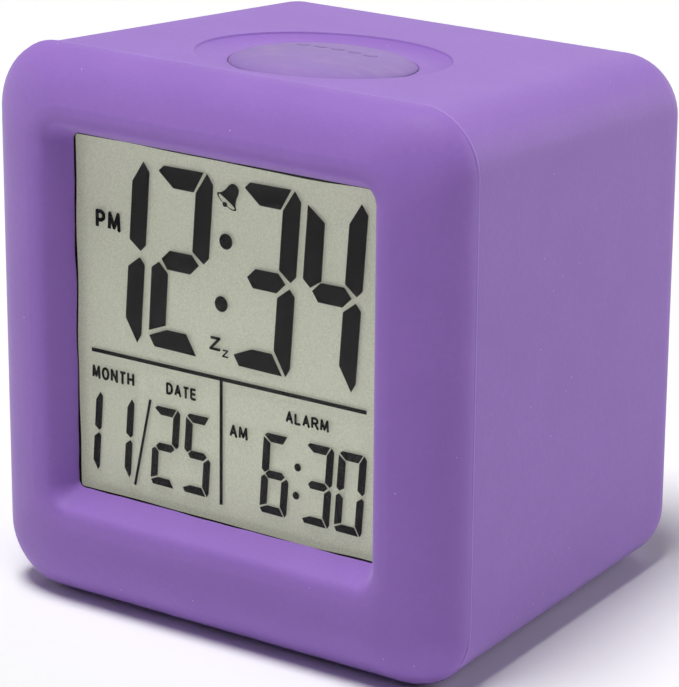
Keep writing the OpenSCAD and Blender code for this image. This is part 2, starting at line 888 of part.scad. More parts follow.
// Stem of one key's switch
module key_stem(x) {
    color(off_white) from_front() translate([x, 0, key_z])
        depth_rod(stem_r, key_stem_top - 2.2, key_stem_top);
}

module mode_stem() {
    key_stem(key_x[0]);
}

module set_stem() {
    key_stem(key_x[1]);
}

module up_stem() {
    key_stem(key_x[2]);
}

module down_stem() {
    key_stem(key_x[3]);
}

// Knob of the alarm switch, at its on end
module alarm_slider() {
    fork_low = cover_y - 2.6;
    color(purple) from_front() translate([slide_x + slide_travel / 2, 0, low_row_z]) {
        difference() {
            union() {
                depth_box(knob[0], knob[1], key_flange_top - 0.1, key_top);
                depth_box(knob_flange[0], knob_flange[1], key_flange_top - key_flange_t,
                    key_flange_top);
                depth_box(knob_fork[0], knob_fork[1], fork_low, key_flange_top);
            }
            for (i = [-1, 0, 1])
                translate([1.4 * i, 0, 0])
                    depth_box(0.6, knob[1] + over, key_top - 0.4, case_d);
            depth_box(lever[0] + 0.1, lever[1] + 0.1, fork_low - over, fork_low + 1.6);
        }
    }
}

// Body of the slide switch
module slide_switch() {
    color(steel) from_front() difference() {
        translate([slide_x, 0, low_row_z])
            depth_box(slide_body[0], slide_body[1], key_board_top, key_board_top + slide_body[2]);
        translate([slide_x, 0, low_row_z])
            depth_box(lever[0] + slide_travel + 2 * play, lever[1] + 2 * play,
                key_board_top + slide_body[2] - 1.4, case_d);
    }
}

// Lever of the slide switch, held in the knob's fork
module slide_switch_lever() {
    base = key_board_top + slide_body[2] - 1.2;
    color(near_black) from_front() translate([slide_x + slide_travel / 2, 0, low_row_z])
        depth_box(lever[0], lever[1], base, cover_y - 1.1);
}

// Round buzzer with a sound hole
module buzzer() {
    color(near_black) from_front() translate([buzzer_x, 0, low_row_z]) difference() {
        depth_rod(buzzer_r, key_board_top, key_board_top + buzzer_h);
        depth_rod(1.2, key_board_top + buzzer_h - 1.5, key_board_top + buzzer_h + over);
    }
}

// Flat cable that sags from the main board's socket to the key board
module ribbon_cable() {
    start = board_y + board_t + 1.8;
    end = key_board_top - key_board_t;
    sag = 4;
    thick = 0.8;
    half = (end - start) / 2;
    arc_r = (half * half + sag * sag) / (2 * sag);
    color([0.7, 0.7, 0.74]) from_front()
        translate([15, (start + end) / 2, 50 + arc_r - sag]) rotate([90, 0, 90])
            linear_extrude(10) intersection() {
                difference() {
                    circle(arc_r + thick / 2, $fn = 180);
                    circle(arc_r - thick / 2, $fn = 180);
                }
                translate([-half, -arc_r - thick]) square([2 * half, sag + 2 * thick]);
            }
}

silicone_sleeve();
front_case();
window_lens();
lcd_glass();
lcd_frame();
light_guide();
backlight_led();
zebra_strip();
main_board();
chip_blob();
quartz_crystal();
board_parts();
board_screws();
snooze_dome();
snooze_carrier();
snooze_spring();
snooze_switch();
snooze_switch_stem();
snooze_board();
snooze_board_screws();
snooze_leads();
rear_cover();
case_screws();
battery_door();
battery_cell_1();
battery_cell_2();
battery_bridge();
battery_plus_contact();
battery_minus_contact();
battery_lead_red();
battery_lead_black();
key_board();
key_board_screws();
key_switches();
key_mode();
key_set();
key_up();
key_down();
mode_stem();
set_stem();
up_stem();
down_stem();
alarm_slider();
slide_switch();
slide_switch_lever();
buzzer();
ribbon_cable();
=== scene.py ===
"""Looks of the soft-skinned cube alarm clock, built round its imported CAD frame.

Shapes are worked out in millimetres: x to the right, depth back from the front face, z up.
to_frame() turns them into the row frame's metres.
"""

import json
import math

import bmesh
import bpy
from mathutils import Matrix, Vector, noise


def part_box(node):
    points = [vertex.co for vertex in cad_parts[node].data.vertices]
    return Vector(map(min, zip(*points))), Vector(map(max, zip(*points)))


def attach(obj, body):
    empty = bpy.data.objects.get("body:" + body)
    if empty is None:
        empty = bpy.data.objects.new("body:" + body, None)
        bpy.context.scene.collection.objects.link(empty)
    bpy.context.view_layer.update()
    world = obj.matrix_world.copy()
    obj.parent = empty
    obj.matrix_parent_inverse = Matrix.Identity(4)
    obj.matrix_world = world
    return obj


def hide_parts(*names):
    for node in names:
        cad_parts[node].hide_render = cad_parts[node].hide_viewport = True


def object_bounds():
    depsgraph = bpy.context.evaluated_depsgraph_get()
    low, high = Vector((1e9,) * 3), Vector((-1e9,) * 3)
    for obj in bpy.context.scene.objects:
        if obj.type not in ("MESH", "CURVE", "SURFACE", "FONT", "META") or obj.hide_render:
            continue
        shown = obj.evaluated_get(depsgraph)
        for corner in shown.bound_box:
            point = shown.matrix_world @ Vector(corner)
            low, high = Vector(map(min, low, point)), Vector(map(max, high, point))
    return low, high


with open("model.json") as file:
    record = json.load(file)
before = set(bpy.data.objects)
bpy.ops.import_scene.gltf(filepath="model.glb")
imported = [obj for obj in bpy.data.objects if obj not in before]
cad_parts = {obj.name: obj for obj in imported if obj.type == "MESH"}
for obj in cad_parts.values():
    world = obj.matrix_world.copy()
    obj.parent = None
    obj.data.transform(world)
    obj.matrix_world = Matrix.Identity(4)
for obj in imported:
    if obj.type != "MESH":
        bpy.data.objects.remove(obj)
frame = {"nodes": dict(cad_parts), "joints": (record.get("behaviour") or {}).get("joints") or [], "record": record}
cad_low, cad_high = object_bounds()

MM = 0.001
sleeve_low, sleeve_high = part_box("silicone_sleeve")
FRONT = sleeve_low.y / MM
HALF = sleeve_high.x / MM
HEIGHT = sleeve_high.z / MM
DEPTH = (sleeve_high.y - sleeve_low.y) / MM

# The sleeve's shape, as in the CAD source but for the window's corners and lip, which bend tighter
RIM_R = 9.0
RIM_INSET = 12.6
RIM_DEPTH = 7.7
RIM_STEP = 0.3
DRAFT_TOP = 4.5
DRAFT_SIDE = 2.4
BODY_R = 8.8
BACK_ROUND = 6.0
SKIN = 2.0
LINING = 2.2
WINDOW_HALF = (26.3, 26.9)
WINDOW_R = 1.2
# Height of the ridge along the parting line, which only the visual has
RIDGE = 0.09
# Recess wall and lip, as pairs of numbers: how far they widen the window, and at which depth
LIP = (
    (0.0, 4.95), (0.1, 4.6), (0.4, 3.9), (0.78, 3.1), (1.12, 2.4), (1.46, 1.75), (1.72, 1.3),
    (1.95, 0.94), (2.2, 0.66), (2.55, 0.42), (3.0, 0.25), (3.7, 0.1), (4.7, 0.0),
)
# Opening in the back for the rear cover, and how far its edge is rounded
PANEL_HALF = 30.0
PANEL_LOW = 7.0
PANEL_HIGH = 71.0
PANEL_R = 5.0
PANEL_ROUND = 0.7

# The dish and button, in the top slope's own frame: heights count from the slope, up
DISH_R = 18.4
DISH_STEP = 0.3
DISH_DEPTH = 1.3
HOLE_R = 13.64
DOME_R = 13.5
DOME_EDGE = -1.35
DOME_RISE = 0.32
DOME_CEILING = -1.75
DOME_SKIRT = -5.2
DOME_WALL = 1.5
RING_R = 19.4
RING_BOTTOM = -4.2


def depth_of(y):
    """Depth in mm of a place given in the row frame's metres."""
    return y / MM - FRONT


lens_low, lens_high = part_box("window_lens")
LENS = depth_of(lens_low.y)
LENS_BACK = depth_of(lens_high.y)
WINDOW_Z = (lens_low.z + lens_high.z) / 2 / MM


def to_frame(point):
    return Vector((point[0], FRONT + point[1], point[2])) * MM


def make_object(name, verts, faces, body, slot, smooth=True):
    """A mesh object from points in mm, riding on a CAD body."""
    mesh = bpy.data.meshes.new(name)
    mesh.from_pydata([to_frame(v) for v in verts], [], faces)
    bm = bmesh.new()
    bm.from_mesh(mesh)
    bmesh.ops.recalc_face_normals(bm, faces=bm.faces)
    bm.to_mesh(mesh)
    bm.free()
    mesh.polygons.foreach_set("use_smooth", [smooth] * len(mesh.polygons))
    obj = bpy.data.objects.new(name, mesh)
    bpy.context.scene.collection.objects.link(obj)
    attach(obj, body)
    return obj


def loft(rows, closed=False, cap_first=False, cap_last=False):
    """Points and faces of a skin through closed rows of equal length."""
    count = len(rows[0])
    verts = [p for row in rows for p in row]
    faces = []
    last = len(rows) if closed else len(rows) - 1
    for k in range(last):
        a, b = k * count, (k + 1) % len(rows) * count
        for i in range(count):
            j = (i + 1) % count
            faces.append((a + i, a + j, b + j, b + i))
    for wanted, start in ((cap_first, 0), (cap_last, (len(rows) - 1) * count)):
        if wanted:
            ring = verts[start : start + count]
            middle = [sum(p[axis] for p in ring) / count for axis in range(3)]
            verts.append(middle)
            hub = len(verts) - 1
            faces += [(start + i, start + (i + 1) % count, hub) for i in range(count)]
    return verts, faces


def join(verts, faces, shape):
    """Adds another shape's points and faces to the lists, and says where its points start."""
    base = len(verts)
    verts += shape[0]
    faces += [tuple(i + base for i in face) for face in shape[1]]
    return base


def quarter_turn(steps, first=0):
    """Sine and cosine of even steps from 0 to 90 degrees."""
    for k in range(first, steps + 1):
        a = math.pi / 2 * k / steps
        yield math.sin(a), math.cos(a)


# --- outlines -----------------------------------------------------------------

# Points along an outline: whole millimetres out to BLOCK, then EXTRA more before each corner
BLOCK = 22
EXTRA = 3
CORNER_STEPS = 12
SIDE_STEPS = 24


def outline(half, low, high, radius, depth):
    """Rounded outline with the same number of points at every size.

    The middle of its top and bottom keeps whole-millimetre points, so that the dish's patch fits."""
    flat = half - radius
    right = [BLOCK + (flat - BLOCK) * (i + 1) / EXTRA for i in range(EXTRA)]
    xs = [-x for x in reversed(right)] + list(range(-BLOCK, BLOCK + 1)) + right
    zs = [high - radius + (low + 2 * radius - high) * i / SIDE_STEPS for i in range(SIDE_STEPS + 1)]
    turn = [math.pi / 2 * i / CORNER_STEPS for i in range(1, CORNER_STEPS)]
    points = [(x, depth, high) for x in xs]
    points += [
        (flat + radius * math.sin(a), depth, high - radius + radius * math.cos(a)) for a in turn
    ]
    points += [(half, depth, z) for z in zs]
    points += [
        (flat + radius * math.cos(a), depth, low + radius - radius * math.sin(a)) for a in turn
    ]
    points += [(-x, depth, low) for x in xs]
    points += [
        (-flat - radius * math.sin(a), depth, low + radius - radius * math.cos(a)) for a in turn
    ]
    points += [(-half, depth, z) for z in reversed(zs)]
    points += [
        (-flat - radius * math.cos(a), depth, high - radius + radius * math.sin(a)) for a in turn
    ]
    return points


def run(depth):
    return (depth - RIM_DEPTH) / (DEPTH - RIM_DEPTH)


def body_top(depth):
    return HEIGHT - RIM_STEP - DRAFT_TOP * run(depth)


def body_outline(depth, inset):
    half = HALF - RIM_STEP - DRAFT_SIDE * run(depth) - inset
    return outline(half, inset, body_top(depth) - inset, max(BODY_R - inset, 1.0), depth)


def window_outline(grow, depth):
    return outline(
        WINDOW_HALF[0] + grow,
        WINDOW_Z - WINDOW_HALF[1] - grow,
        WINDOW_Z + WINDOW_HALF[1] + grow,
        WINDOW_R + grow,
        depth,
    )


def panel_outline(grow, depth):
    return outline(PANEL_HALF + grow, PANEL_LOW - grow, PANEL_HIGH + grow, PANEL_R + grow, depth)


LIP_R = WINDOW_R + LIP[-1][0]


def face_inset(x, z, half, height):
    """How far a point of the front is in from the outline, along outlines whose corners ease."""
    px, pz = abs(x), abs(z - height / 2)

    def outside(inset):
        r = RIM_R - inset * (RIM_R - LIP_R) / RIM_INSET
        qx, qz = px - (half - inset - r), pz - (height / 2 - inset - r)
        return math.hypot(max(qx, 0), max(qz, 0)) + min(max(qx, qz), 0) - r

    low, high = 0.0, RIM_INSET
    if outside(high) <= 0:
        return high
    for _ in range(40):
        mid = (low + high) / 2
        low, high = (mid, high) if outside(mid) <= 0 else (low, mid)
    return (low + high) / 2


def pillow_depth(x, z, half, height, face):
    s = 1 - min(max(face_inset(x, z, half, height) / RIM_INSET, 0), 1)
    return face + (RIM_DEPTH - face) * (1 - math.sqrt(max(1 - s * s, 0)))


def pillow_rows(inner, half, low, high, radius, face, steps):
    """Rows from an inner outline to the widest outline of the pillow-shaped front."""
    outer = outline(half, low, high, radius, RIM_DEPTH)
    rows = []
    for k in range(1, steps + 1):
        s = math.sin(math.pi / 2 * k / steps)
        row = []
        for p, q in zip(inner, outer):
            x, z = p[0] + (q[0] - p[0]) * s, p[2] + (q[2] - p[2]) * s
            row.append((x, pillow_depth(x, z - low, half, high - low, face), z))
        rows.append(row)
    return rows


# --- top slope ----------------------------------------------------------------

press = next(j for j in frame["joints"] if j["name"] == "snooze_press")
slope_up = -Vector(press["axis"]).normalized()
slope_back = Vector((0, slope_up.z, -slope_up.y))
DISH_Y = 29.4
DISH_AT = Vector((0, DISH_Y, body_top(DISH_Y)))


def on_top(x, y, z):
    """A point of the top slope's frame, whose origin is the middle of the dish, in mm."""
    p = DISH_AT + Vector((x, 0, 0)) + slope_back * y + slope_up * z
    return tuple(p)


def turned(profile, sides, phase=0.0):
    """Rows of a surface turned about the dish's axis, from (radius, height) pairs."""
    return [
        [
            on_top(
                r * math.cos(phase + 2 * math.pi * i / sides),
                r * math.sin(phase + 2 * math.pi * i / sides),
                z,
            )
            for i in range(sides)
        ]
        for r, z in profile
    ]


# --- silicone sleeve ----------------------------------------------------------

# Depths between which the top carries a planar grid, which is swapped for the dish
PATCH_START = 9.5
PATCH_END = 49.5
PATCH_STEPS = 40
BACK_STEPS = 7
# The recess's foot: how long its waves are, and how far it stays in front of the lens
FOOT_WAVE = 5.0
FOOT_GAP = 0.24


def foot_row(grow, depth, wave):
    """Row round the recess's foot, moved in and out by a moulded edge's unevenness."""
    row = []
    for p, q in zip(window_outline(grow, depth), window_outline(grow + 1, depth)):
        shift = wave * noise.noise(Vector((p[0], 0, p[2])) / FOOT_WAVE)
        row.append((p[0] + (q[0] - p[0]) * shift, depth, p[2] + (q[2] - p[2]) * shift))
    return row


def smoothed(points, rounds):
    """Corner-cut copy of an open polyline, with its ends kept."""
    for _ in range(rounds):
        cut = [points[0]]
        for a, b in zip(points, points[1:]):
            cut += [tuple(u + (v - u) * share for u, v in zip(a, b)) for share in (0.25, 0.75)]
        points = cut + [points[-1]]
    return points


def rim_outline(inset, depth):
    return outline(HALF - inset, min(inset, RIDGE), HEIGHT - inset, RIM_R - inset, depth)


def sleeve_outer_rows():
    foot = LENS - FOOT_GAP
    rows = [
        window_outline(1.5, foot),
        foot_row(0.22, foot, 0.3),
        foot_row(0.08, foot - 0.03, 0.3),
        foot_row(0.0, foot - 0.12, 0.24),
    ]
    for grow, depth in smoothed(LIP, 2):
        rows.append(
            [(x, y + pillow_depth(x, z, HALF, HEIGHT, 0), z) for x, y, z in window_outline(grow, depth)]
        )
    rows += pillow_rows(rows[-1], HALF - RIDGE, RIDGE, HEIGHT - RIDGE, RIM_R - RIDGE, 0, 34)
    for inset, depth in ((RIDGE, RIM_DEPTH + 0.3), (RIM_STEP * 0.75, RIM_DEPTH + 0.42)):
        rows.append(rim_outline(inset, depth))
    for inset, depth in ((0.03, 8.2), (0.0, 8.35), (0.0, 8.9)):
        rows.append(body_outline(depth, inset))
    return rows


def body_rows(inset, start, stop, steps):
    return [body_outline(start + (stop - start) * k / steps, inset) for k in range(1, steps + 1)]


def dish_profile():
    """From the flat top down to the bottom of the hole."""
    rows = [(DISH_R + 0.35, 0.0), (DISH_R + 0.12, 0.0), (DISH_R + 0.03, -0.03)]
    rows += [(DISH_R - 0.02, -0.1), (DISH_R - 0.05, -DISH_STEP)]
    slope = DISH_R - 0.12 - HOLE_R - 0.15
    fall = DISH_DEPTH - DISH_STEP - 0.05
    for k in range(12):
        u = 1 - k / 11
        rows.append((HOLE_R + 0.15 + slope * u, -DISH_STEP - 0.05 - fall * (1 - u**2.6)))
    rows += [(HOLE_R + 0.05, -DISH_DEPTH - 0.04), (HOLE_R, -DISH_DEPTH - 0.2), (HOLE_R, RING_BOTTOM)]
    return rows


def build_sleeve():
    """Closed skin: outside rows from the window to the back lip, then the inside rows back again.

    The grid on its top is swapped for the dish, outside and inside."""
    rows = sleeve_outer_rows()
    rows.append(body_outline(PATCH_START, 0))
    outer_patch = len(rows) - 1
    rows += body_rows(0, PATCH_START, PATCH_END, PATCH_STEPS)
    rows += body_rows(0, PATCH_END, DEPTH - BACK_ROUND, BACK_STEPS)
    for s, c in quarter_turn(12, 1):
        rows.append(body_outline(DEPTH - BACK_ROUND * (1 - s), BACK_ROUND * (1 - c)))
    for s, c in quarter_turn(6):
        rows.append(panel_outline(PANEL_ROUND * (1 - s), DEPTH - PANEL_ROUND * (1 - c)))
    rows.append(panel_outline(0, DEPTH - SKIN))
    rows.append(body_outline(DEPTH - SKIN, BACK_ROUND - 1))
    rows.append(body_outline(DEPTH - BACK_ROUND, SKIN))
    rows += body_rows(SKIN, DEPTH - BACK_ROUND, PATCH_END, 2)
    inner_patch = len(rows) - 1
    rows += body_rows(SKIN, PATCH_END, PATCH_START, PATCH_STEPS)
    inner_window = window_outline(LINING + 0.4, 0)
    inside = pillow_rows(inner_window, HALF - SKIN, SKIN, HEIGHT - SKIN, RIM_R - SKIN, SKIN, 12)
    rows += reversed(inside)
    rows.append(window_outline(LINING, SKIN))
    rows.append(window_outline(LINING, LENS - 0.1))
    verts, faces = loft(rows, closed=True)
    count = len(rows[0])
    first = EXTRA
    last = first + 2 * BLOCK

    def in_patch(face, start):
        row, i = divmod(min(face), count)
        cols = {v % count for v in face}
        return start <= row < start + PATCH_STEPS and min(cols) >= first and max(cols) <= last

    faces = [f for f in faces if not (in_patch(f, outer_patch) or in_patch(f, inner_patch))]

    def patch_rim(start):
        near = [start * count + i for i in range(first, last + 1)]
        right = [(start + k) * count + last for k in range(1, PATCH_STEPS + 1)]
        far = [(start + PATCH_STEPS) * count + i for i in range(last - 1, first - 1, -1)]
        left = [(start + k) * count + first for k in range(PATCH_STEPS - 1, 0, -1)]
        return near + right + far + left

    def local(point):
        d = Vector(point) - DISH_AT
        return d.x, d.dot(slope_back), d.dot(slope_up)

    def add_ring(ring_points):
        start = len(verts)
        verts.extend(ring_points)
        return list(range(start, start + len(ring_points)))

    def bridge(a, b):
        n = len(a)
        for i in range(n):
            faces.append((a[i], a[(i + 1) % n], b[(i + 1) % n], b[i]))

    def sink(rim, profile):
        """Rings from a patch's rim to the first circle of the profile, then down the profile."""
        places = [local(verts[i]) for i in rim]
        angles = [math.atan2(y, x) for x, y, _ in places]
        r0, z0 = profile[0]
        current = rim
        for s in (0.25, 0.5, 0.75, 1.0):
            between = [
                on_top(x + (r0 * math.cos(a) - x) * s, y + (r0 * math.sin(a) - y) * s, z + (z0 - z) * s)
                for (x, y, z), a in zip(places, angles)
            ]
            ring = add_ring(between)
            bridge(current, ring)
            current = ring
        for r, z in profile[1:]:
            ring = add_ring([on_top(r * math.cos(a), r * math.sin(a), z) for a in angles])
            bridge(current, ring)
            current = ring
        return current

    def turn_of(i):
        x, y, _ = local(verts[i])
        return math.atan2(y, x)

    outer_end = sink(patch_rim(outer_patch), dish_profile())
    ring_profile = [(RING_R, -SKIN), (RING_R, RING_BOTTOM), (HOLE_R + 0.5, RING_BOTTOM)]
    inner_end = sink(patch_rim(inner_patch), ring_profile)
    bridge(sorted(outer_end, key=turn_of), sorted(inner_end, key=turn_of))
    return make_object("sleeve_skin", verts, faces, "case", "silicone")


sleeve = build_sleeve()
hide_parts("silicone_sleeve")


def build_ridge():
    """Thin ridge along the parting line, rounded over and set into the skin."""
    profile = (
        (0.4, -0.03), (RIDGE, -0.03), (RIDGE * 0.5, 0.02), (RIDGE * 0.15, 0.08), (0.0, 0.15),
        (0.0, 0.24), (RIDGE * 0.3, 0.31), (RIDGE * 1.2, 0.36), (0.4, 0.36),
    )
    rows = [rim_outline(inset, RIM_DEPTH + back) for inset, back in profile]
    return make_object("parting_ridge", *loft(rows, closed=True), "case", "silicone")


ridge = build_ridge()
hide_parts("silicone_sleeve")


# --- snooze button ------------------------------------------------------------


def dome_height(r):
    """Flat in the middle and rolling over more and more towards the edge."""
    return DOME_EDGE + (DOME_RISE - DOME_EDGE) * (1 - min(r / DOME_R, 1.0) ** 3.2) ** 0.625


DOME_SIDES = 144
DOME_STEPS = 32
DOME_TURN = math.radians(88.5)


def build_dome():
    """Hollow cap: outside from the skirt up to the middle, inside back down, joined at the skirt."""
    outside = [(DOME_R - 0.05, DOME_SKIRT), (DOME_R, DOME_SKIRT + 0.1)]
    outside += [(DOME_R, DOME_EDGE - 0.6), (DOME_R, DOME_EDGE)]
    for k in range(1, DOME_STEPS + 1):
        r = DOME_R * math.cos(DOME_TURN * k / DOME_STEPS)
        outside.append((r, dome_height(r)))
    bore = DOME_R - DOME_WALL
    inside = [(0.4, DOME_CEILING), (bore, DOME_CEILING), (bore, DOME_SKIRT + 0.05), (bore + 0.05, DOME_SKIRT)]
    verts, faces = loft(turned(outside, DOME_SIDES), cap_last=True)
    base = join(verts, faces, loft(turned(inside, DOME_SIDES), cap_first=True))
    start = base + (len(inside) - 1) * DOME_SIDES
    for i in range(DOME_SIDES):
        j = (i + 1) % DOME_SIDES
        faces.append((i, j, start + j, start + i))
    return make_object("snooze_cap", verts, faces, "snooze_button", "silicone")


snooze_cap = build_dome()
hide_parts("snooze_dome")


# The row of dashes on the dome: spacing, how far back and how bowed it is, and half a dash's sizes
MARK_PITCH = 2.9
MARK_BACK = 3.6
MARK_BOW = 0.09
MARK_HALF = (1.05, 0.85)
MARK_SIDES = 32
MARK_PROFILE = ((1.0, -0.06), (0.97, 0.03), (0.85, 0.09), (0.55, 0.12))


def build_touch_marks():
    """A row of five low rounded dashes across the dome, to be found by touch."""
    verts, faces = [], []
    for mark in range(-2, 3):
        cx, cy = MARK_PITCH * mark, MARK_BACK - MARK_BOW * mark * mark
        rows = []
        for scale, lift in MARK_PROFILE:
            row = []
            for i in range(MARK_SIDES):
                a = 2 * math.pi * i / MARK_SIDES
                c, s = math.cos(a), math.sin(a)
                x = cx + math.copysign(abs(c) ** 0.6, c) * MARK_HALF[0] * scale
                y = cy + math.copysign(abs(s) ** 0.8, s) * MARK_HALF[1] * scale
                row.append(on_top(x, y, dome_height(math.hypot(x, y)) + lift))
            rows.append(row)
        join(verts, faces, loft(rows, cap_first=True, cap_last=True))
    return make_object("snooze_touch_marks", verts, faces, "snooze_button", "silicone")


touch_marks = build_touch_marks()


# --- display ------------------------------------------------------------------

# Lean of the digits, and the depths of the dark shapes and of the ground behind them
SLANT = 0.0759
INK = LENS_BACK + 0.1
INK_T = 0.05
GROUND = INK + 0.36


class Ink:
    """Collects the dark shapes of the display into one mesh."""

    def __init__(self):
        self.verts, self.faces = [], []

    def add(self, polygon):
        """Adds a thin flat shape, from (x, z) pairs round the window's middle."""
        n = len(polygon)
        verts = [(x, depth, WINDOW_Z + z) for depth in (INK, INK + INK_T) for x, z in polygon]
        faces = [tuple(range(n)), tuple(range(2 * n - 1, n - 1, -1))]
        faces += [(i, (i + 1) % n, n + (i + 1) % n, n + i) for i in range(n)]
        join(self.verts, self.faces, (verts, faces))


ink = Ink()

# Bars that each digit lights, with the usual letters
LIT = {
    "0": "abcdef", "1": "bc", "2": "abged", "3": "abgcd", "4": "fgbc", "5": "afgcd", "6": "afgedc",
}


def segment_shapes(w, h, t):
    """The seven bars of an upright digit of half width w and half height h, with strokes t wide."""
    gap = 0.13 * t
    inner = w - t
    shelf = h - 1.04 * t
    waist = 0.5 * t
    return {
        "a": [(-0.93 * w, h - 0.3 * t), (-0.76 * w, h), (w - 0.6 * t, h + 0.03 * t),
              (inner - gap, shelf), (-inner + 0.05 * t, shelf)],
        "b": [(w - 0.4 * t, h), (w, h - 0.5 * t), (w, waist), (w - 0.29 * t, 0.17 * t),
              (inner, 0.68 * t), (inner, shelf - 0.02 * t)],
        "c": [(w - 0.33 * t, -0.15 * t), (w, -waist), (w, -h + 0.58 * t), (w - 0.22 * t, 0.14 * t - h),
              (inner, 1.34 * t - h), (inner, -0.7 * t)],
        "d": [(-0.96 * w, 0.68 * t - h), (-inner + 0.1 * t, 1.14 * t - h), (inner - 0.1 * t, 1.14 * t - h),
              (w - 0.43 * t, 0.13 * t - h), (-w + 0.42 * t, 0.16 * t - h)],
        "e": [(-w + 0.42 * t, -0.17 * t), (-inner, -0.69 * t), (-inner + 0.02 * t, 1.34 * t - h),
              (-w + 0.03 * t, 0.93 * t - h), (-w, -waist)],
        "f": [(-w, h - 0.53 * t), (-inner + 0.02 * t, h - 1.26 * t), (-inner + 0.05 * t, 0.56 * t),
              (-w + 0.45 * t, 0.15 * t), (-w, 0.53 * t)],
        "g": [(-w + 0.57 * t, 0.02 * t), (-inner + 0.03 * t, 0.5 * t), (inner - 0.03 * t, 0.51 * t),
              (w - 0.57 * t, 0.04 * t), (inner - 0.05 * t, -0.48 * t), (-inner - 0.05 * t, -0.48 * t)],
    }


def digit(char, x, z, w, h, t):
    shapes = segment_shapes(w, h, t)
    for name in LIT[char]:
        ink.add([(x + u + SLANT * v, z + v) for u, v in shapes[name]])


def disc(x, z, rx, rz, sides=40):
    turn = [2 * math.pi * i / sides for i in range(sides)]
    ink.add([(x + rx * math.cos(a), z + rz * math.sin(a)) for a in turn])


def bar(x0, z0, x1, z1, width):
    d = Vector((x1 - x0, z1 - z0)).normalized() * width / 2
    ink.add([(x0 - d.y, z0 + d.x), (x0 + d.y, z0 - d.x), (x1 + d.y, z1 - d.x), (x1 - d.y, z1 + d.x)])


# Strokes of plain capitals on a unit box, how wide some are, and a stroke's share of the height
STROKES = {
    "A": [((0, 0), (0.5, 1)), ((0.5, 1), (1, 0)), ((0.2, 0.33), (0.8, 0.33))],
    "D": [((0, 0), (0, 1)), ((0, 1), (0.5, 1)), ((0.5, 1), (0.86, 0.84)), ((0.86, 0.84), (1, 0.5)),
          ((1, 0.5), (0.86, 0.16)), ((0.86, 0.16), (0.5, 0)), ((0.5, 0), (0, 0))],
    "E": [((0, 0), (0, 1)), ((0, 1), (0.9, 1)), ((0, 0.52), (0.8, 0.52)), ((0, 0), (0.9, 0))],
    "H": [((0, 0), (0, 1)), ((1, 0), (1, 1)), ((0, 0.52), (1, 0.52))],
    "L": [((0, 1), (0, 0)), ((0, 0), (0.9, 0))],
    "M": [((0, 0), (0.08, 1)), ((0.08, 1), (0.5, 0.12)), ((0.5, 0.12), (0.92, 1)), ((0.92, 1), (1, 0))],
    "N": [((0, 0), (0, 1)), ((0, 1), (1, 0)), ((1, 0), (1, 1))],
    "O": [((0.5 + 0.5 * math.cos(a), 0.5 + 0.5 * math.sin(a)),
           (0.5 + 0.5 * math.cos(b), 0.5 + 0.5 * math.sin(b)))
          for a, b in ((math.pi * i / 10, math.pi * (i + 1) / 10) for i in range(20))],
    "P": [((0, 0), (0, 1)), ((0, 1), (0.6, 1)), ((0.6, 1), (0.95, 0.86)), ((0.95, 0.86), (0.95, 0.6)),
          ((0.95, 0.6), (0.6, 0.45)), ((0.6, 0.45), (0, 0.45))],
    "R": [((0, 0), (0, 1)), ((0, 1), (0.6, 1)), ((0.6, 1), (0.93, 0.86)), ((0.93, 0.86), (0.93, 0.62)),
          ((0.93, 0.62), (0.6, 0.48)), ((0.6, 0.48), (0, 0.48)), ((0.55, 0.48), (1, 0))],
    "T": [((0, 1), (1, 1)), ((0.5, 1), (0.5, 0))],
    "Z": [((0.02, 1), (1, 1)), ((1, 1), (0, 0)), ((0, 0), (1, 0))],
}
ADVANCE = {"M": 1.22, "O": 1.1, "L": 0.82, "E": 0.82, "P": 0.86, "T": 0.88}
STROKE = 0.2
LETTER_GAP = 0.62


def word(text, left, right, low, high):
    """Plain capitals drawn with strokes to fill a box."""
    height = high - low
    width = STROKE * height
    share = sum(ADVANCE.get(c, 1.0) for c in text)
    space = width * LETTER_GAP
    unit = (right - left - space * (len(text) - 1) - width * len(text)) / share
    at = left + width / 2
    for c in text:
        wide = unit * ADVANCE.get(c, 1.0)
        for stroke in STROKES[c]:
            ends = [(at + u * wide, low + width / 2 + v * (height - width)) for u, v in stroke]
            bar(*ends[0], *ends[1], width)
            disc(*ends[1], width / 2, width / 2, 12)
        at += wide + width + space


# Time of day. A size is a digit's half width and half height, and its stroke's width
TIME_Z = 10.2
TIME_SIZE = (4.95, 13.75, 2.93)
for char, at in zip("1234", (-19.72, -8.59, 6.32, 17.35)):
    digit(char, at, TIME_Z, *TIME_SIZE)
disc(-0.59, 14.72, 1.1, 1.15)
disc(-1.44, 5.45, 1.1, 1.15)

# Rules between the fields
bar(-24.76, -5.74, 23.25, -5.57, 0.58)
bar(-1.51, -5.82, -1.63, -24.66, 0.52)
bar(-14.17, -11.34, -17.17, -25.06, 0.42)

# Date and alarm time
DATE_Z = -18.15
DATE_SIZE = (2.35, 6.15, 1.2)
for char, at in zip("1125630", (-25.63, -19.87, -11.58, -5.82, 7.84, 15.16, 20.64)):
    digit(char, at, DATE_Z, *DATE_SIZE)
disc(11.73, -16.09, 0.56, 0.58)
disc(11.44, -20.36, 0.56, 0.58)

word("PM", -23.65, -19.15, 12.77, 15.64)
word("MONTH", -24.76, -17.06, -10.05, -8.05)
word("DATE", -11.31, -5.92, -9.89, -8.07)
word("ALARM", 9.64, 17.0, -9.83, -8.03)
word("AM", -0.09, 3.09, -13.96, -12.07)
word("Z", -3.56, -1.61, -1.61, 0.44)
word("Z", -1.34, -0.25, -2.34, -1.19)


MOUTH_STEPS = 28


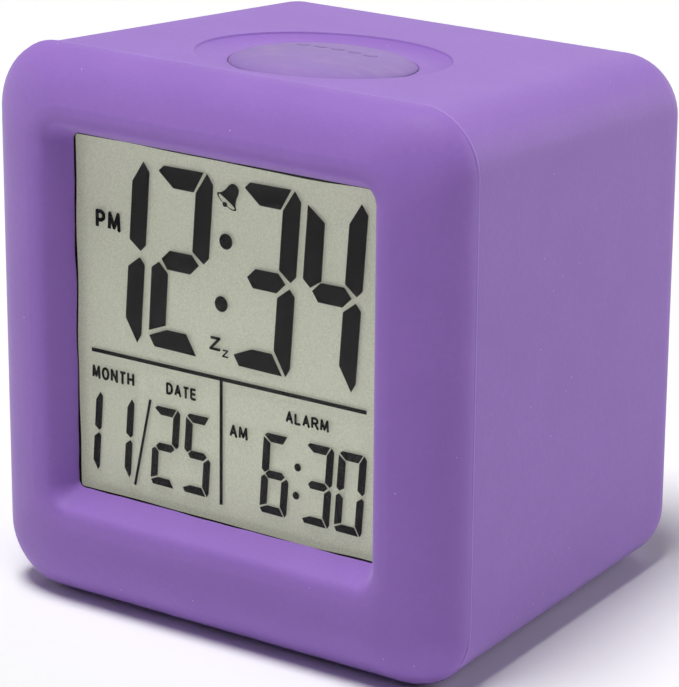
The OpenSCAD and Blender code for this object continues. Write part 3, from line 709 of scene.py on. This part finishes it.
def bell(x, z, size, tilt):
    """Outline of a small tilted bell with an open mouth and a clapper."""
    c, s = math.cos(tilt), math.sin(tilt)

    def place(u, v):
        return x + size * (c * u - s * v), z + size * (s * u + c * v)

    side = [(0.12, 0.98), (0.36, 0.86), (0.5, 0.55), (0.56, 0.1), (0.72, -0.28), (0.95, -0.55)]
    crown = [(-u, v) for u, v in reversed(side)]
    turn = [math.pi * i / 12 for i in range(1, 12)]
    dip = [(0.95 * math.cos(a), -0.55 + 0.1 * math.sin(a)) for a in turn]
    ink.add([place(u, v) for u, v in crown + side + dip])
    for i in range(MOUTH_STEPS):
        a0, a1 = 2 * math.pi * i / MOUTH_STEPS, 2 * math.pi * (i + 1) / MOUTH_STEPS
        ring = []
        for a, r in ((a0, 1.0), (a1, 1.0), (a1, 0.84), (a0, 0.84)):
            ring.append(place(0.98 * r * math.cos(a), -0.58 + 0.3 * (r - 0.12 * (1 - r)) * math.sin(a)))
        ink.add(ring)
    disc(*place(0.0, -0.86), 0.2 * size, 0.18 * size, 20)


bell(0.2, 21.48, 1.95, math.radians(-33))

segments = make_object("display_segments", ink.verts, ink.faces, "case", "display_glass", smooth=False)


def build_display_panel():
    """The display's glass block with eased edges; its front is the matte ground behind the segments."""
    low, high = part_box("lcd_glass")
    half = high.x / MM
    z0, z1 = low.z / MM, high.z / MM
    back = depth_of(high.y)
    rows = []
    edges = (
        (-0.6, GROUND), (-0.5, GROUND), (-0.4, GROUND), (-0.12, GROUND + 0.05),
        (0.0, GROUND + 0.25), (0.0, back - 0.1), (-0.1, back),
    )
    for grow, depth in edges:
        rows.append(outline(half + grow, z0 - grow, z1 + grow, 1.0 + grow, depth))
    return make_object(
        "display_ground", *loft(rows, cap_first=True, cap_last=True), "case", "display_glass"
    )


# The painted gap shadow's opening past the window at the sides and below, and inside it at the top
GAP_SHADOW_SIDE = 0.84
GAP_SHADOW_END = 0.46
GAP_SHADOW_TOP = 0.75
GAP_SHADOW_R = 0.5
GAP_SHADOW_WAVE = 0.3


def build_painted_gap_shadow():
    """Dark ring round the viewing area, a painted shadow of the gap between the recess's foot and the glass; only
    its edge shows, beside the recess's foot.
    """
    half_w = WINDOW_HALF[0] + GAP_SHADOW_SIDE
    bottom = WINDOW_Z - WINDOW_HALF[1] - GAP_SHADOW_END
    top = WINDOW_Z + WINDOW_HALF[1] - GAP_SHADOW_TOP
    inner = [
        (x + GAP_SHADOW_WAVE * noise.noise(Vector((0, z, 3)) / 9), y,
         z + GAP_SHADOW_WAVE * noise.noise(Vector((x, 0, 7)) / 11))
        for x, y, z in outline(half_w, bottom, top, GAP_SHADOW_R, INK)
    ]
    outer = outline(half_w + 1.2, bottom - 1.2, top + 2.2, GAP_SHADOW_R + 1, INK)
    rows = [inner, outer]
    rows += [[(x, y + INK_T, z) for x, y, z in row] for row in (outer, inner)]
    return make_object(
        "painted_gap_shadow", *loft(rows, closed=True), "case", "display_glass", smooth=False
    )


painted_gap_shadow = build_painted_gap_shadow()
display_ground = build_display_panel()
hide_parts("lcd_glass")
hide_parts("lcd_glass")
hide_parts("lcd_glass")


# --- rear keys and switch -----------------------------------------------------


STADIUM_STEPS = 14


def stadium(cx, cz, half_w, half_h, depth):
    """Outline of an oval cap with straight upper and lower sides."""
    reach = half_w - half_h
    points = []
    for sign in (1, -1):
        for i in range(STADIUM_STEPS + 1):
            a = math.pi / 2 - math.pi * i / STADIUM_STEPS
            points.append(
                (cx + sign * (reach + half_h * math.cos(a)), depth, cz + sign * half_h * math.sin(a))
            )
    return points


def icon_shapes(kind):
    """Flat shapes of a small generic symbol, in mm round its middle."""
    if kind == "up":
        return [[(-0.95, -0.6), (0.95, -0.6), (0.0, 0.85)]]
    if kind == "down":
        return [[(-0.95, 0.6), (0.0, -0.85), (0.95, 0.6)]]

    def arc(r0, r1, a0, a1, steps):
        turn = [math.radians(a0 + (a1 - a0) * i / steps) for i in range(steps + 1)]
        return [
            [(r * math.cos(a), r * math.sin(a)) for r, a in ((r0, p), (r1, p), (r1, q), (r0, q))]
            for p, q in zip(turn, turn[1:])
        ]

    hand = 0.13
    hands = [
        [(-hand, -hand), (hand, -hand), (hand, 0.62), (-hand, 0.62)],
        [(hand, -hand), (0.55, -hand), (0.55, hand), (hand, hand)],
    ]
    if kind == "clock":
        return arc(0.84, 1.1, 0, 360, 36) + hands
    tooth = ((0.8, -0.17), (1.15, -0.14), (1.15, 0.14), (0.8, 0.17))
    teeth = []
    for i in range(8):
        c, s = math.cos(math.pi / 4 * i), math.sin(math.pi / 4 * i)
        teeth.append([(u * c - v * s, u * s + v * c) for u, v in tooth])
    return arc(0.42, 0.86, 0, 360, 32) + teeth


def raised(name, shapes, cx, cz, depth, lift, body, slot):
    """Shapes raised from a rear face by lift; seen from behind, x runs the other way."""
    verts, faces = [], []
    for shape in shapes:
        n = len(shape)
        base = len(verts)
        mx = sum(u for u, _ in shape) / n
        mz = sum(v for _, v in shape) / n
        for level, grow in ((depth - 0.1, 1.0), (depth + lift * 0.7, 1.0), (depth + lift, 0.93)):
            verts += [
                (cx - (mx + (u - mx) * grow), level, cz + mz + (v - mz) * grow) for u, v in shape
            ]
        for k in range(2):
            for i in range(n):
                j = (i + 1) % n
                a = base + k * n
                faces.append((a + i, a + j, a + n + j, a + n + i))
        faces.append(tuple(base + i for i in range(n)))
        faces.append(tuple(base + 2 * n + i for i in range(n)))
    return make_object(name, verts, faces, body, slot, smooth=False)


def rear_box(node):
    """A rear node's middle and half sizes across, and the depths of its foot and top, in mm."""
    low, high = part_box(node)
    middle_x, middle_z = (low.x + high.x) / 2 / MM, (low.z + high.z) / 2 / MM
    half_w, half_h = (high.x - low.x) / 2 / MM, (high.z - low.z) / 2 / MM
    return middle_x, middle_z, half_w, half_h, depth_of(low.y), depth_of(high.y)


KEYS = (("mode", "clock"), ("set", "gear"), ("up", "up"), ("down", "down"))
# A key's flange thickness, the rounding and hollow of its top, and how far that is set in
FLANGE = 0.9
KEY_EDGE = 0.6
KEY_HOLLOW = 0.12
KEY_LOW = 0.03


def build_key(name, icon):
    """Rubber key with its flange, a rounded edge and a slightly hollow top, and its symbol."""
    cx, cz, flange_w, flange_h, foot, top = rear_box("key_" + name)
    cap_w, cap_h = flange_w - 1.2, flange_h - 1.0
    flange = foot + FLANGE
    top -= KEY_LOW
    rows = [
        stadium(cx, cz, flange_w - 0.1, flange_h - 0.1, foot),
        stadium(cx, cz, flange_w, flange_h, foot + 0.1),
        stadium(cx, cz, flange_w, flange_h, flange - 0.1),
        stadium(cx, cz, flange_w - 0.1, flange_h - 0.1, flange),
        stadium(cx, cz, cap_w + 0.15, cap_h + 0.15, flange),
        stadium(cx, cz, cap_w, cap_h, flange + 0.15),
    ]
    for s, c in quarter_turn(6):
        shrink = KEY_EDGE * (1 - c)
        rows.append(stadium(cx, cz, cap_w - shrink, cap_h - shrink, top - KEY_EDGE * (1 - s)))
    for s in (0.8, 0.6, 0.4, 0.2):
        half_w, half_h = (cap_w - KEY_EDGE) * s, (cap_h - KEY_EDGE) * s
        rows.append(stadium(cx, cz, half_w, half_h, top - KEY_HOLLOW * (1 - s * s)))
    body = name + "_key"
    shape = loft(rows, cap_first=True, cap_last=True)
    key = make_object("key_cap_" + name, *shape, body, "key_rubber")
    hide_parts("key_" + name)
    symbol = raised("key_symbol_" + name, icon_shapes(icon), cx, cz, top - 0.1, 0.16, body, "key_rubber")
    return key, symbol


key_pieces = [build_key(name, icon) for name, icon in KEYS]

# From the rear cover's inner face to the key tops
KEY_REACH = 3.77
# Half sizes of the slider's fork and knob, its rounding, and where that starts below the grip ridges
FORK_HALF = 2.0
KNOB_HALF = (2.5, 2.2)
KNOB_EDGE = 0.45
KNOB_LOW = 0.9
GRIP_PITCH = 1.3
GRIP_HALF = 1.15


def build_slider():
    """Slide knob with an eased edge and three grip ridges, on its hidden flange and fork."""
    cx, cz, flange_w, flange_h, foot, top = rear_box("alarm_slider")
    cover_in = depth_of(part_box("key_mode")[1].y) - KEY_REACH
    sill = cover_in - FLANGE
    knob_w, knob_h = KNOB_HALF

    def rounded(hw, hh, r, depth):
        points = []
        for sx, sz, start in ((1, 1, 0), (-1, 1, 90), (-1, -1, 180), (1, -1, 270)):
            for a in (math.radians(start + 15 * i) for i in range(7)):
                x, z = sx * (hw - r) + r * math.cos(a), sz * (hh - r) + r * math.sin(a)
                points.append((cx + x, depth, cz + z))
        return points

    rows = [
        rounded(FORK_HALF, FORK_HALF, 0.3, foot),
        rounded(FORK_HALF, FORK_HALF, 0.3, sill),
        rounded(flange_w - 0.1, flange_h - 0.1, 0.5, sill),
        rounded(flange_w, flange_h, 0.6, sill + 0.1),
        rounded(flange_w, flange_h, 0.6, cover_in - 0.1),
        rounded(flange_w - 0.1, flange_h - 0.1, 0.5, cover_in),
        rounded(knob_w, knob_h, 0.5, cover_in),
        rounded(knob_w, knob_h, 0.5, top - KNOB_LOW),
    ]
    for s, c in quarter_turn(5, 1):
        shrink = KNOB_EDGE * (1 - c)
        rows.append(rounded(knob_w - shrink, knob_h - shrink, 0.5, top - KNOB_LOW + KNOB_EDGE * s))
    verts, faces = loft(rows, cap_first=True, cap_last=True)
    for i in (-1, 0, 1):
        ridge = [
            [
                (cx + GRIP_PITCH * i + u * reach, top - below, cz + v * (GRIP_HALF + reach))
                for u, v in ((1, 1), (-1, 1), (-1, -1), (1, -1))
            ]
            for reach, below in ((0.36, 0.6), (0.34, 0.2), (0.24, 0.05), (0.1, 0.0))
        ]
        join(verts, faces, loft(ridge, cap_first=True, cap_last=True))
    return make_object("alarm_knob", verts, faces, "alarm_switch", "key_rubber", smooth=False)


alarm_knob = build_slider()
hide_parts("alarm_slider")


# --- materials ----------------------------------------------------------------


class Shader:
    """Small helper that lays out one object-space node material."""

    def __init__(self, name):
        self.material = bpy.data.materials.new(name)
        self.material.use_nodes = True
        self.tree = self.material.node_tree
        self.tree.nodes.clear()
        self.out = self.node("ShaderNodeOutputMaterial")
        self.bsdf = self.node("ShaderNodeBsdfPrincipled")
        self.link(self.bsdf, "BSDF", self.out, "Surface")
        self.place = self.node("ShaderNodeTexCoord")

    def node(self, kind):
        return self.tree.nodes.new(kind)

    def link(self, a, a_socket, b, b_socket):
        self.tree.links.new(a.outputs[a_socket], b.inputs[b_socket])

    def noise(self, size, detail=2.0, stretch=None, rough=0.5):
        """Noise whose features are about size mm."""
        tex = self.node("ShaderNodeTexNoise")
        tex.inputs["Scale"].default_value = 1 / (size * MM)
        tex.inputs["Detail"].default_value = detail
        tex.inputs["Roughness"].default_value = rough
        if stretch:
            mapping = self.node("ShaderNodeMapping")
            mapping.inputs["Scale"].default_value = stretch
            self.link(self.place, "Object", mapping, "Vector")
            self.link(mapping, "Vector", tex, "Vector")
        else:
            self.link(self.place, "Object", tex, "Vector")
        return tex

    def spread(self, source, socket, low, high, to_low, to_high):
        span = self.node("ShaderNodeMapRange")
        for name, value in (
            ("From Min", low), ("From Max", high), ("To Min", to_low), ("To Max", to_high)
        ):
            span.inputs[name].default_value = value
        self.link(source, socket, span, "Value")
        return span

    def blend(self, factor, factor_socket, first, second):
        """Mix of two colours, each a tuple or a (node, socket) pair."""
        mix = self.node("ShaderNodeMix")
        mix.data_type = "RGBA"
        self.link(factor, factor_socket, mix, 0)
        for index, value in ((6, first), (7, second)):
            if isinstance(value[0], (int, float)):
                mix.inputs[index].default_value = (*value, 1.0)
            else:
                self.tree.links.new(value[0].outputs[value[1]], mix.inputs[index])
        return mix, 2

    def colour(self, pair):
        self.tree.links.new(pair[0].outputs[pair[1]], self.bsdf.inputs["Base Color"])

    def roughness(self, tex, low, high):
        span = self.spread(tex, "Fac", 0.3, 0.7, low, high)
        self.link(span, "Result", self.bsdf, "Roughness")

    def bump(self, layers):
        """Bumps from (texture, height in mm) pairs, one after the other."""
        before = None
        for tex, height in layers:
            bump = self.node("ShaderNodeBump")
            bump.inputs["Strength"].default_value = 1.0
            bump.inputs["Distance"].default_value = height * MM
            self.link(tex, "Fac", bump, "Height")
            if before:
                self.link(before, "Normal", bump, "Normal")
            before = bump
        self.link(before, "Normal", self.bsdf, "Normal")


def silicone(name, base, shade, speck=0.06, rub=None):
    """Matte soft-touch silicone with a fine moulded grain, faint mottling and specks of dust.

    speck is a speck's size in cells, and rub the colour of worn streaks."""
    s = Shader(name)
    fine = s.noise(0.35, 3.0)
    cloud = s.noise(14.0, 3.0)
    patch = s.noise(0.9, 2.0)
    mottled = s.blend(s.spread(cloud, "Fac", 0.35, 0.65, 0.0, 1.0), "Result", base, shade)
    grey = tuple(0.9 * c for c in base)
    grained = s.blend(s.spread(patch, "Fac", 0.3, 0.75, 0.0, 0.55), "Result", mottled, grey)
    cells = s.node("ShaderNodeTexVoronoi")
    cells.inputs["Scale"].default_value = 1 / (SPECK_CELL * MM)
    s.link(s.place, "Object", cells, "Vector")
    chosen = s.node("ShaderNodeSeparateColor")
    s.link(cells, "Color", chosen, "Color")
    keep = s.spread(chosen, "Red", 0.72, 0.8, 0.0, 1.0)
    near = s.spread(cells, "Distance", speck * 0.5, speck, 1.0, 0.0)
    both = s.node("ShaderNodeMath")
    both.operation = "MULTIPLY"
    s.link(keep, "Result", both, 0)
    s.link(near, "Result", both, 1)
    if rub:
        streaks = s.noise(1.5, 4.0, (0.35, 1.0, 1.0), 0.7)
        grained = s.blend(s.spread(streaks, "Fac", 0.5, 0.75, 0.0, 0.55), "Result", grained, rub)
    s.colour(s.blend(both, "Value", grained, DUST))
    s.roughness(fine, 0.58, 0.7)
    s.bump(((fine, 0.016), (patch, 0.012)))
    s.bsdf.inputs["Sheen Weight"].default_value = 0.18
    s.bsdf.inputs["Sheen Roughness"].default_value = 0.45
    s.bsdf.inputs["IOR"].default_value = 1.41
    return s.material


def plain(
    name, base, shade, rough, grain, height, *, metal=0.0, coat=0.0, stretch=None, cloud=6.0, alpha=1.0
):
    """Moulded, printed or metal surface: two cloudy tones, a grain in the roughness and a bump.

    grain, height and cloud are sizes in mm."""
    s = Shader(name)
    fine = s.noise(grain, 3.0, stretch)
    broad = s.noise(cloud, 2.0)
    s.colour(s.blend(s.spread(broad, "Fac", 0.35, 0.65, 0.0, 1.0), "Result", base, shade))
    s.roughness(fine, *rough)
    s.bump(((fine, height),))
    s.bsdf.inputs["Metallic"].default_value = metal
    s.bsdf.inputs["Coat Weight"].default_value = coat
    s.bsdf.inputs["Alpha"].default_value = alpha
    return s.material


PURPLE = (0.311, 0.156, 0.558)
PURPLE_SHADE = (0.292, 0.144, 0.532)
DUST = (0.56, 0.42, 0.72)
SPECK_CELL = 2.3

silicone_material = silicone("purple_silicone", PURPLE, PURPLE_SHADE)
cap_material = silicone(
    "cap_silicone", (0.290, 0.168, 0.500), (0.262, 0.168, 0.440), speck=0.04, rub=(0.36, 0.25, 0.46)
)
mark_material = silicone("mark_silicone", (0.262, 0.165, 0.43), (0.24, 0.155, 0.40), speck=0.02)
# Paler silicone on the parting ridge: a painted highlight along its crest
ridge_highlight_material = silicone("ridge_painted_highlight_silicone", (0.39, 0.23, 0.66), (0.36, 0.20, 0.62))
key_material = silicone("key_silicone", PURPLE, PURPLE_SHADE, speck=0.04)
symbol_material = silicone("symbol_silicone", (0.52, 0.40, 0.72), (0.47, 0.35, 0.66), speck=0.03)

# Reflector's grains, the tone between them, and a faint even glow, painted light that lightens the recess's shade
# on it
REFLECTOR_DARK = (0.28, 0.305, 0.225)
REFLECTOR_LIGHT = (0.47, 0.49, 0.385)
REFLECTOR_MEAN = (0.38, 0.405, 0.315)
DISPLAY_PAINTED_GLOW = 0.23


def make_display_ground():
    """Grey-green reflector with a fine sparkle of light and dark grains."""
    s = Shader("display_reflector")
    fine = s.noise(0.28, 4.0, rough=0.75)
    broad = s.noise(9.0, 2.0)
    grains = s.spread(fine, "Fac", 0.36, 0.66, 0.0, 1.0)
    base = s.blend(grains, "Result", REFLECTOR_DARK, REFLECTOR_LIGHT)
    s.colour(s.blend(s.spread(broad, "Fac", 0.3, 0.7, 0.0, 0.25), "Result", base, REFLECTOR_MEAN))
    s.roughness(fine, 0.5, 0.62)
    s.bump(((fine, 0.012),))
    # Painted light: a faint even glow that lightens the shade of the recess on the display
    s.bsdf.inputs["Emission Color"].default_value = (0.92, 0.93, 0.76, 1.0)
    s.bsdf.inputs["Emission Strength"].default_value = DISPLAY_PAINTED_GLOW
    return s.material


WIRE = ((0.35, 0.45), 0.3, 0.005)

by_slot = {
    "case_plastic": plain(
        "purple_plastic", (0.30, 0.15, 0.56), (0.28, 0.14, 0.53), (0.42, 0.55), 0.3, 0.012
    ),
    "clear_window": plain(
        "window_plastic", (0.9, 0.92, 0.9), (0.86, 0.88, 0.86), (0.45, 0.5), 0.5, 0.0005, alpha=0.012
    ),
    "clear_acrylic": plain(
        "acrylic", (0.85, 0.9, 0.94), (0.8, 0.86, 0.9), (0.08, 0.16), 2.0, 0.002, alpha=0.45
    ),
    "display_glass": make_display_ground(),
    "white_plastic": plain(
        "white_plastic", (0.76, 0.76, 0.72), (0.7, 0.7, 0.66), (0.4, 0.5), 0.3, 0.008
    ),
    "pink_elastomer": plain(
        "elastomer", (0.62, 0.32, 0.38), (0.42, 0.2, 0.26), (0.55, 0.65), 0.2, 0.01,
        stretch=(1.0, 1.0, 0.1), cloud=0.4,
    ),
    "circuit_board": plain(
        "solder_mask", (0.03, 0.19, 0.08), (0.05, 0.27, 0.12), (0.25, 0.35), 0.5, 0.006,
        coat=0.3, cloud=1.4,
    ),
    "black_plastic": plain(
        "black_plastic", (0.018, 0.018, 0.02), (0.03, 0.03, 0.032), (0.3, 0.45), 0.25, 0.01
    ),
    "component_body": plain(
        "component_body", (0.42, 0.3, 0.16), (0.3, 0.21, 0.12), (0.3, 0.4), 0.3, 0.008
    ),
    "nickel_steel": plain(
        "nickel_steel", (0.62, 0.61, 0.57), (0.55, 0.54, 0.5), (0.22, 0.36), 0.25, 0.004,
        metal=1.0, stretch=(1.0, 0.15, 1.0),
    ),
    "screw_steel": plain(
        "screw_steel", (0.5, 0.5, 0.51), (0.42, 0.42, 0.43), (0.25, 0.42), 0.3, 0.006, metal=1.0
    ),
    "red_insulation": plain("red_insulation", (0.5, 0.02, 0.02), (0.42, 0.015, 0.015), *WIRE),
    "black_insulation": plain("black_insulation", (0.02, 0.02, 0.02), (0.03, 0.03, 0.03), *WIRE),
    "grey_insulation": plain("grey_insulation", (0.45, 0.45, 0.47), (0.38, 0.38, 0.4), *WIRE),
}
# Black of the printed segments, also used as painted shadow on the dark ring round the window
ink_and_shadow_material = plain("display_ink_and_painted_shadow", (0.007, 0.006, 0.006), (0.010, 0.009, 0.009), (0.6, 0.7), 0.3, 0.0005)
ink_and_shadow_material.node_tree.nodes["Principled BSDF"].inputs["Specular IOR Level"].default_value = 0.1


# Bands along a cell, from its negative end: where each starts, and its colour
CELL_STEEL = (0.62, 0.6, 0.55, 1)
CELL_JACKET = (0.03, 0.032, 0.04, 1)
CELL_COPPER = (0.5, 0.22, 0.07, 1)
CELL_BANDS = ((0.0, CELL_STEEL), (0.035, CELL_JACKET), (0.72, CELL_COPPER), (0.965, CELL_STEEL))


def cell_material(node, positive_right):
    """A battery cell's steel ends and foil jacket, with a copper-coloured band at its positive end."""
    s = Shader("jacket_" + node)
    split = s.node("ShaderNodeSeparateXYZ")
    s.link(s.place, "Object", split, "Vector")
    fine = s.noise(0.5, 3.0, (0.2, 1.0, 1.0))
    ramp = s.node("ShaderNodeValToRGB")
    ramp.color_ramp.interpolation = "CONSTANT"
    stops = ramp.color_ramp.elements
    for k, (position, colour) in enumerate(CELL_BANDS):
        stop = stops[k] if k < 2 else stops.new(position)
        stop.position, stop.color = position, colour
    low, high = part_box(node)
    ends = (0.0, 1.0) if positive_right else (1.0, 0.0)
    along = s.spread(split, "X", low.x, high.x, *ends)
    s.link(along, "Result", ramp, "Fac")
    wear = s.spread(fine, "Fac", 0.5, 0.9, 0.0, 0.3)
    s.colour(s.blend(wear, "Result", (ramp, "Color"), (0.25, 0.25, 0.26)))
    s.roughness(fine, 0.25, 0.4)
    s.bump(((fine, 0.004),))
    s.bsdf.inputs["Metallic"].default_value = 0.6
    return s.material


def assign(obj, material):
    obj.data.materials.clear()
    obj.data.materials.append(material)


by_slot["silicone"] = silicone_material
by_slot["key_rubber"] = key_material
slots = {p["node"]: p["material_slot"] for p in frame["record"]["subparts"]}
for name, obj in frame["nodes"].items():
    if name.startswith("battery_cell"):
        assign(obj, cell_material(name, name.endswith("1")))
    else:
        assign(obj, by_slot[slots[name]])

assign(sleeve, silicone_material)
assign(ridge, ridge_highlight_material)
assign(snooze_cap, cap_material)
assign(touch_marks, mark_material)
assign(alarm_knob, key_material)
assign(segments, ink_and_shadow_material)
# The dark ring round the window takes the ink's black as painted shadow
assign(painted_gap_shadow, ink_and_shadow_material)
assign(display_ground, by_slot["display_glass"])
for cap, symbol in key_pieces:
    assign(cap, key_material)
    assign(symbol, symbol_material)

SOFT_ANGLE = math.radians(35)
SOFT_EDGES = (("rear_cover", 0.18), ("battery_door", 0.2), ("case_screws", 0.12))


def soften(node, width):
    """Rounds the moulded edges of a carried-over CAD node, for the light to catch."""
    obj = frame["nodes"][node]
    weld = obj.modifiers.new("weld", "WELD")
    weld.merge_threshold = 0.002 * MM
    bevel = obj.modifiers.new("bevel", "BEVEL")
    bevel.width = width * MM
    bevel.segments = 2
    bevel.limit_method = "ANGLE"
    bevel.angle_limit = SOFT_ANGLE
    bevel.harden_normals = False


for node, width in SOFT_EDGES:
    soften(node, width)


# --- studio -------------------------------------------------------------------

# Half the floor's width in metres. It shines a little, more with the distance, to stay pale far behind
FLOOR_HALF = 3.0
GLOW_START = 0.1
GLOW_FULL = 1.5
FLOOR_GLOW = 0.9


def build_floor():
    """Plain pale paper under and behind the clock."""
    bm = bmesh.new()
    bmesh.ops.create_grid(bm, x_segments=8, y_segments=8, size=FLOOR_HALF)
    mesh = bpy.data.meshes.new("floor")
    bm.to_mesh(mesh)
    bm.free()
    floor = bpy.data.objects.new("floor", mesh)
    bpy.context.scene.collection.objects.link(floor)
    floor.location.z = cad_low.z
    s = Shader("floor_paper")
    grain = s.noise(3.0, 2.0)
    s.colour(s.blend(grain, "Fac", (0.93, 0.93, 0.93), (0.95, 0.95, 0.95)))
    s.bsdf.inputs["Roughness"].default_value = 0.9
    s.bsdf.inputs["Specular IOR Level"].default_value = 0.0
    s.bsdf.inputs["Emission Color"].default_value = (1, 1, 1, 1)
    away = s.node("ShaderNodeVectorMath")
    away.operation = "LENGTH"
    s.link(s.place, "Object", away, "Vector")
    glow = s.spread(away, "Value", GLOW_START, GLOW_FULL, 0.0, FLOOR_GLOW)
    s.link(glow, "Result", s.bsdf, "Emission Strength")
    assign(floor, s.material)


build_floor()

middle = (cad_low + cad_high) / 2


def direction(azimuth, elevation):
    """Unit vector away from the clock, from degrees. Azimuth 0 is in front and 90 to its right."""
    a, e = math.radians(azimuth), math.radians(elevation)
    return Vector((math.sin(a) * math.cos(e), -math.cos(a) * math.cos(e), math.sin(e)))


def area_light(name, azimuth, elevation, distance, size, power):
    """Soft box aimed at the middle of the clock, with its distance and size in metres."""
    data = bpy.data.lights.new(name, "AREA")
    data.shape = "DISK"
    data.size = size
    data.energy = power
    light = bpy.data.objects.new(name, data)
    bpy.context.scene.collection.objects.link(light)
    back = direction(azimuth, elevation)
    light.location = middle + back * distance
    light.rotation_mode = "QUATERNION"
    light.rotation_quaternion = back.to_track_quat("Z", "Y")


# Name, azimuth, elevation, distance, size and power in watts
LIGHTS = (
    ("overhead", -10, 78, 0.9, 0.35, 8.0),
    ("left", -75, 15, 1.0, 0.7, 1.85),
    ("right_rear", 140, 15, 1.0, 0.8, 4.0),
    ("rear", 205, 28, 1.0, 0.7, 1.4),
)
for light in LIGHTS:
    area_light(*light)

WORLD_LIGHT = 0.01
world = bpy.data.worlds.new("studio")
bpy.context.scene.world = world
world.use_nodes = True
world.node_tree.nodes["Background"].inputs["Color"].default_value = (1, 1, 1, 1)
world.node_tree.nodes["Background"].inputs["Strength"].default_value = WORLD_LIGHT

bpy.context.scene.view_settings.view_transform = "Standard"

# --- camera -------------------------------------------------------------------

# The photo's view: angles in degrees, distance in metres, and what it aims at from the clock's middle
VIEW_AZIMUTH = 34.419
VIEW_ELEVATION = 18.467
VIEW_ROLL = 0.389
VIEW_DISTANCE = 0.491353
AIM = Vector((-0.97, 0.0, -5.452)) * MM
FOCAL = 174.07


def build_camera():
    """Camera at the photo's angle, rolled slightly as the photo is."""
    data = bpy.data.cameras.new("camera")
    camera = bpy.data.objects.new("camera", data)
    bpy.context.scene.collection.objects.link(camera)
    back = direction(VIEW_AZIMUTH, VIEW_ELEVATION)
    r = math.radians(VIEW_ROLL)
    right = (-back).cross(Vector((0, 0, 1))).normalized()
    up = right.cross(-back)
    across = math.cos(r) * right + math.sin(r) * up
    upright = -math.sin(r) * right + math.cos(r) * up
    place = middle + AIM + back * VIEW_DISTANCE
    turn = Matrix((across, upright, back)).transposed().to_4x4()
    camera.matrix_world = Matrix.Translation(place) @ turn
    data.sensor_width = 36
    data.lens = FOCAL
    data.clip_start, data.clip_end = 0.01, 20
    bpy.context.scene.camera = camera


build_camera()
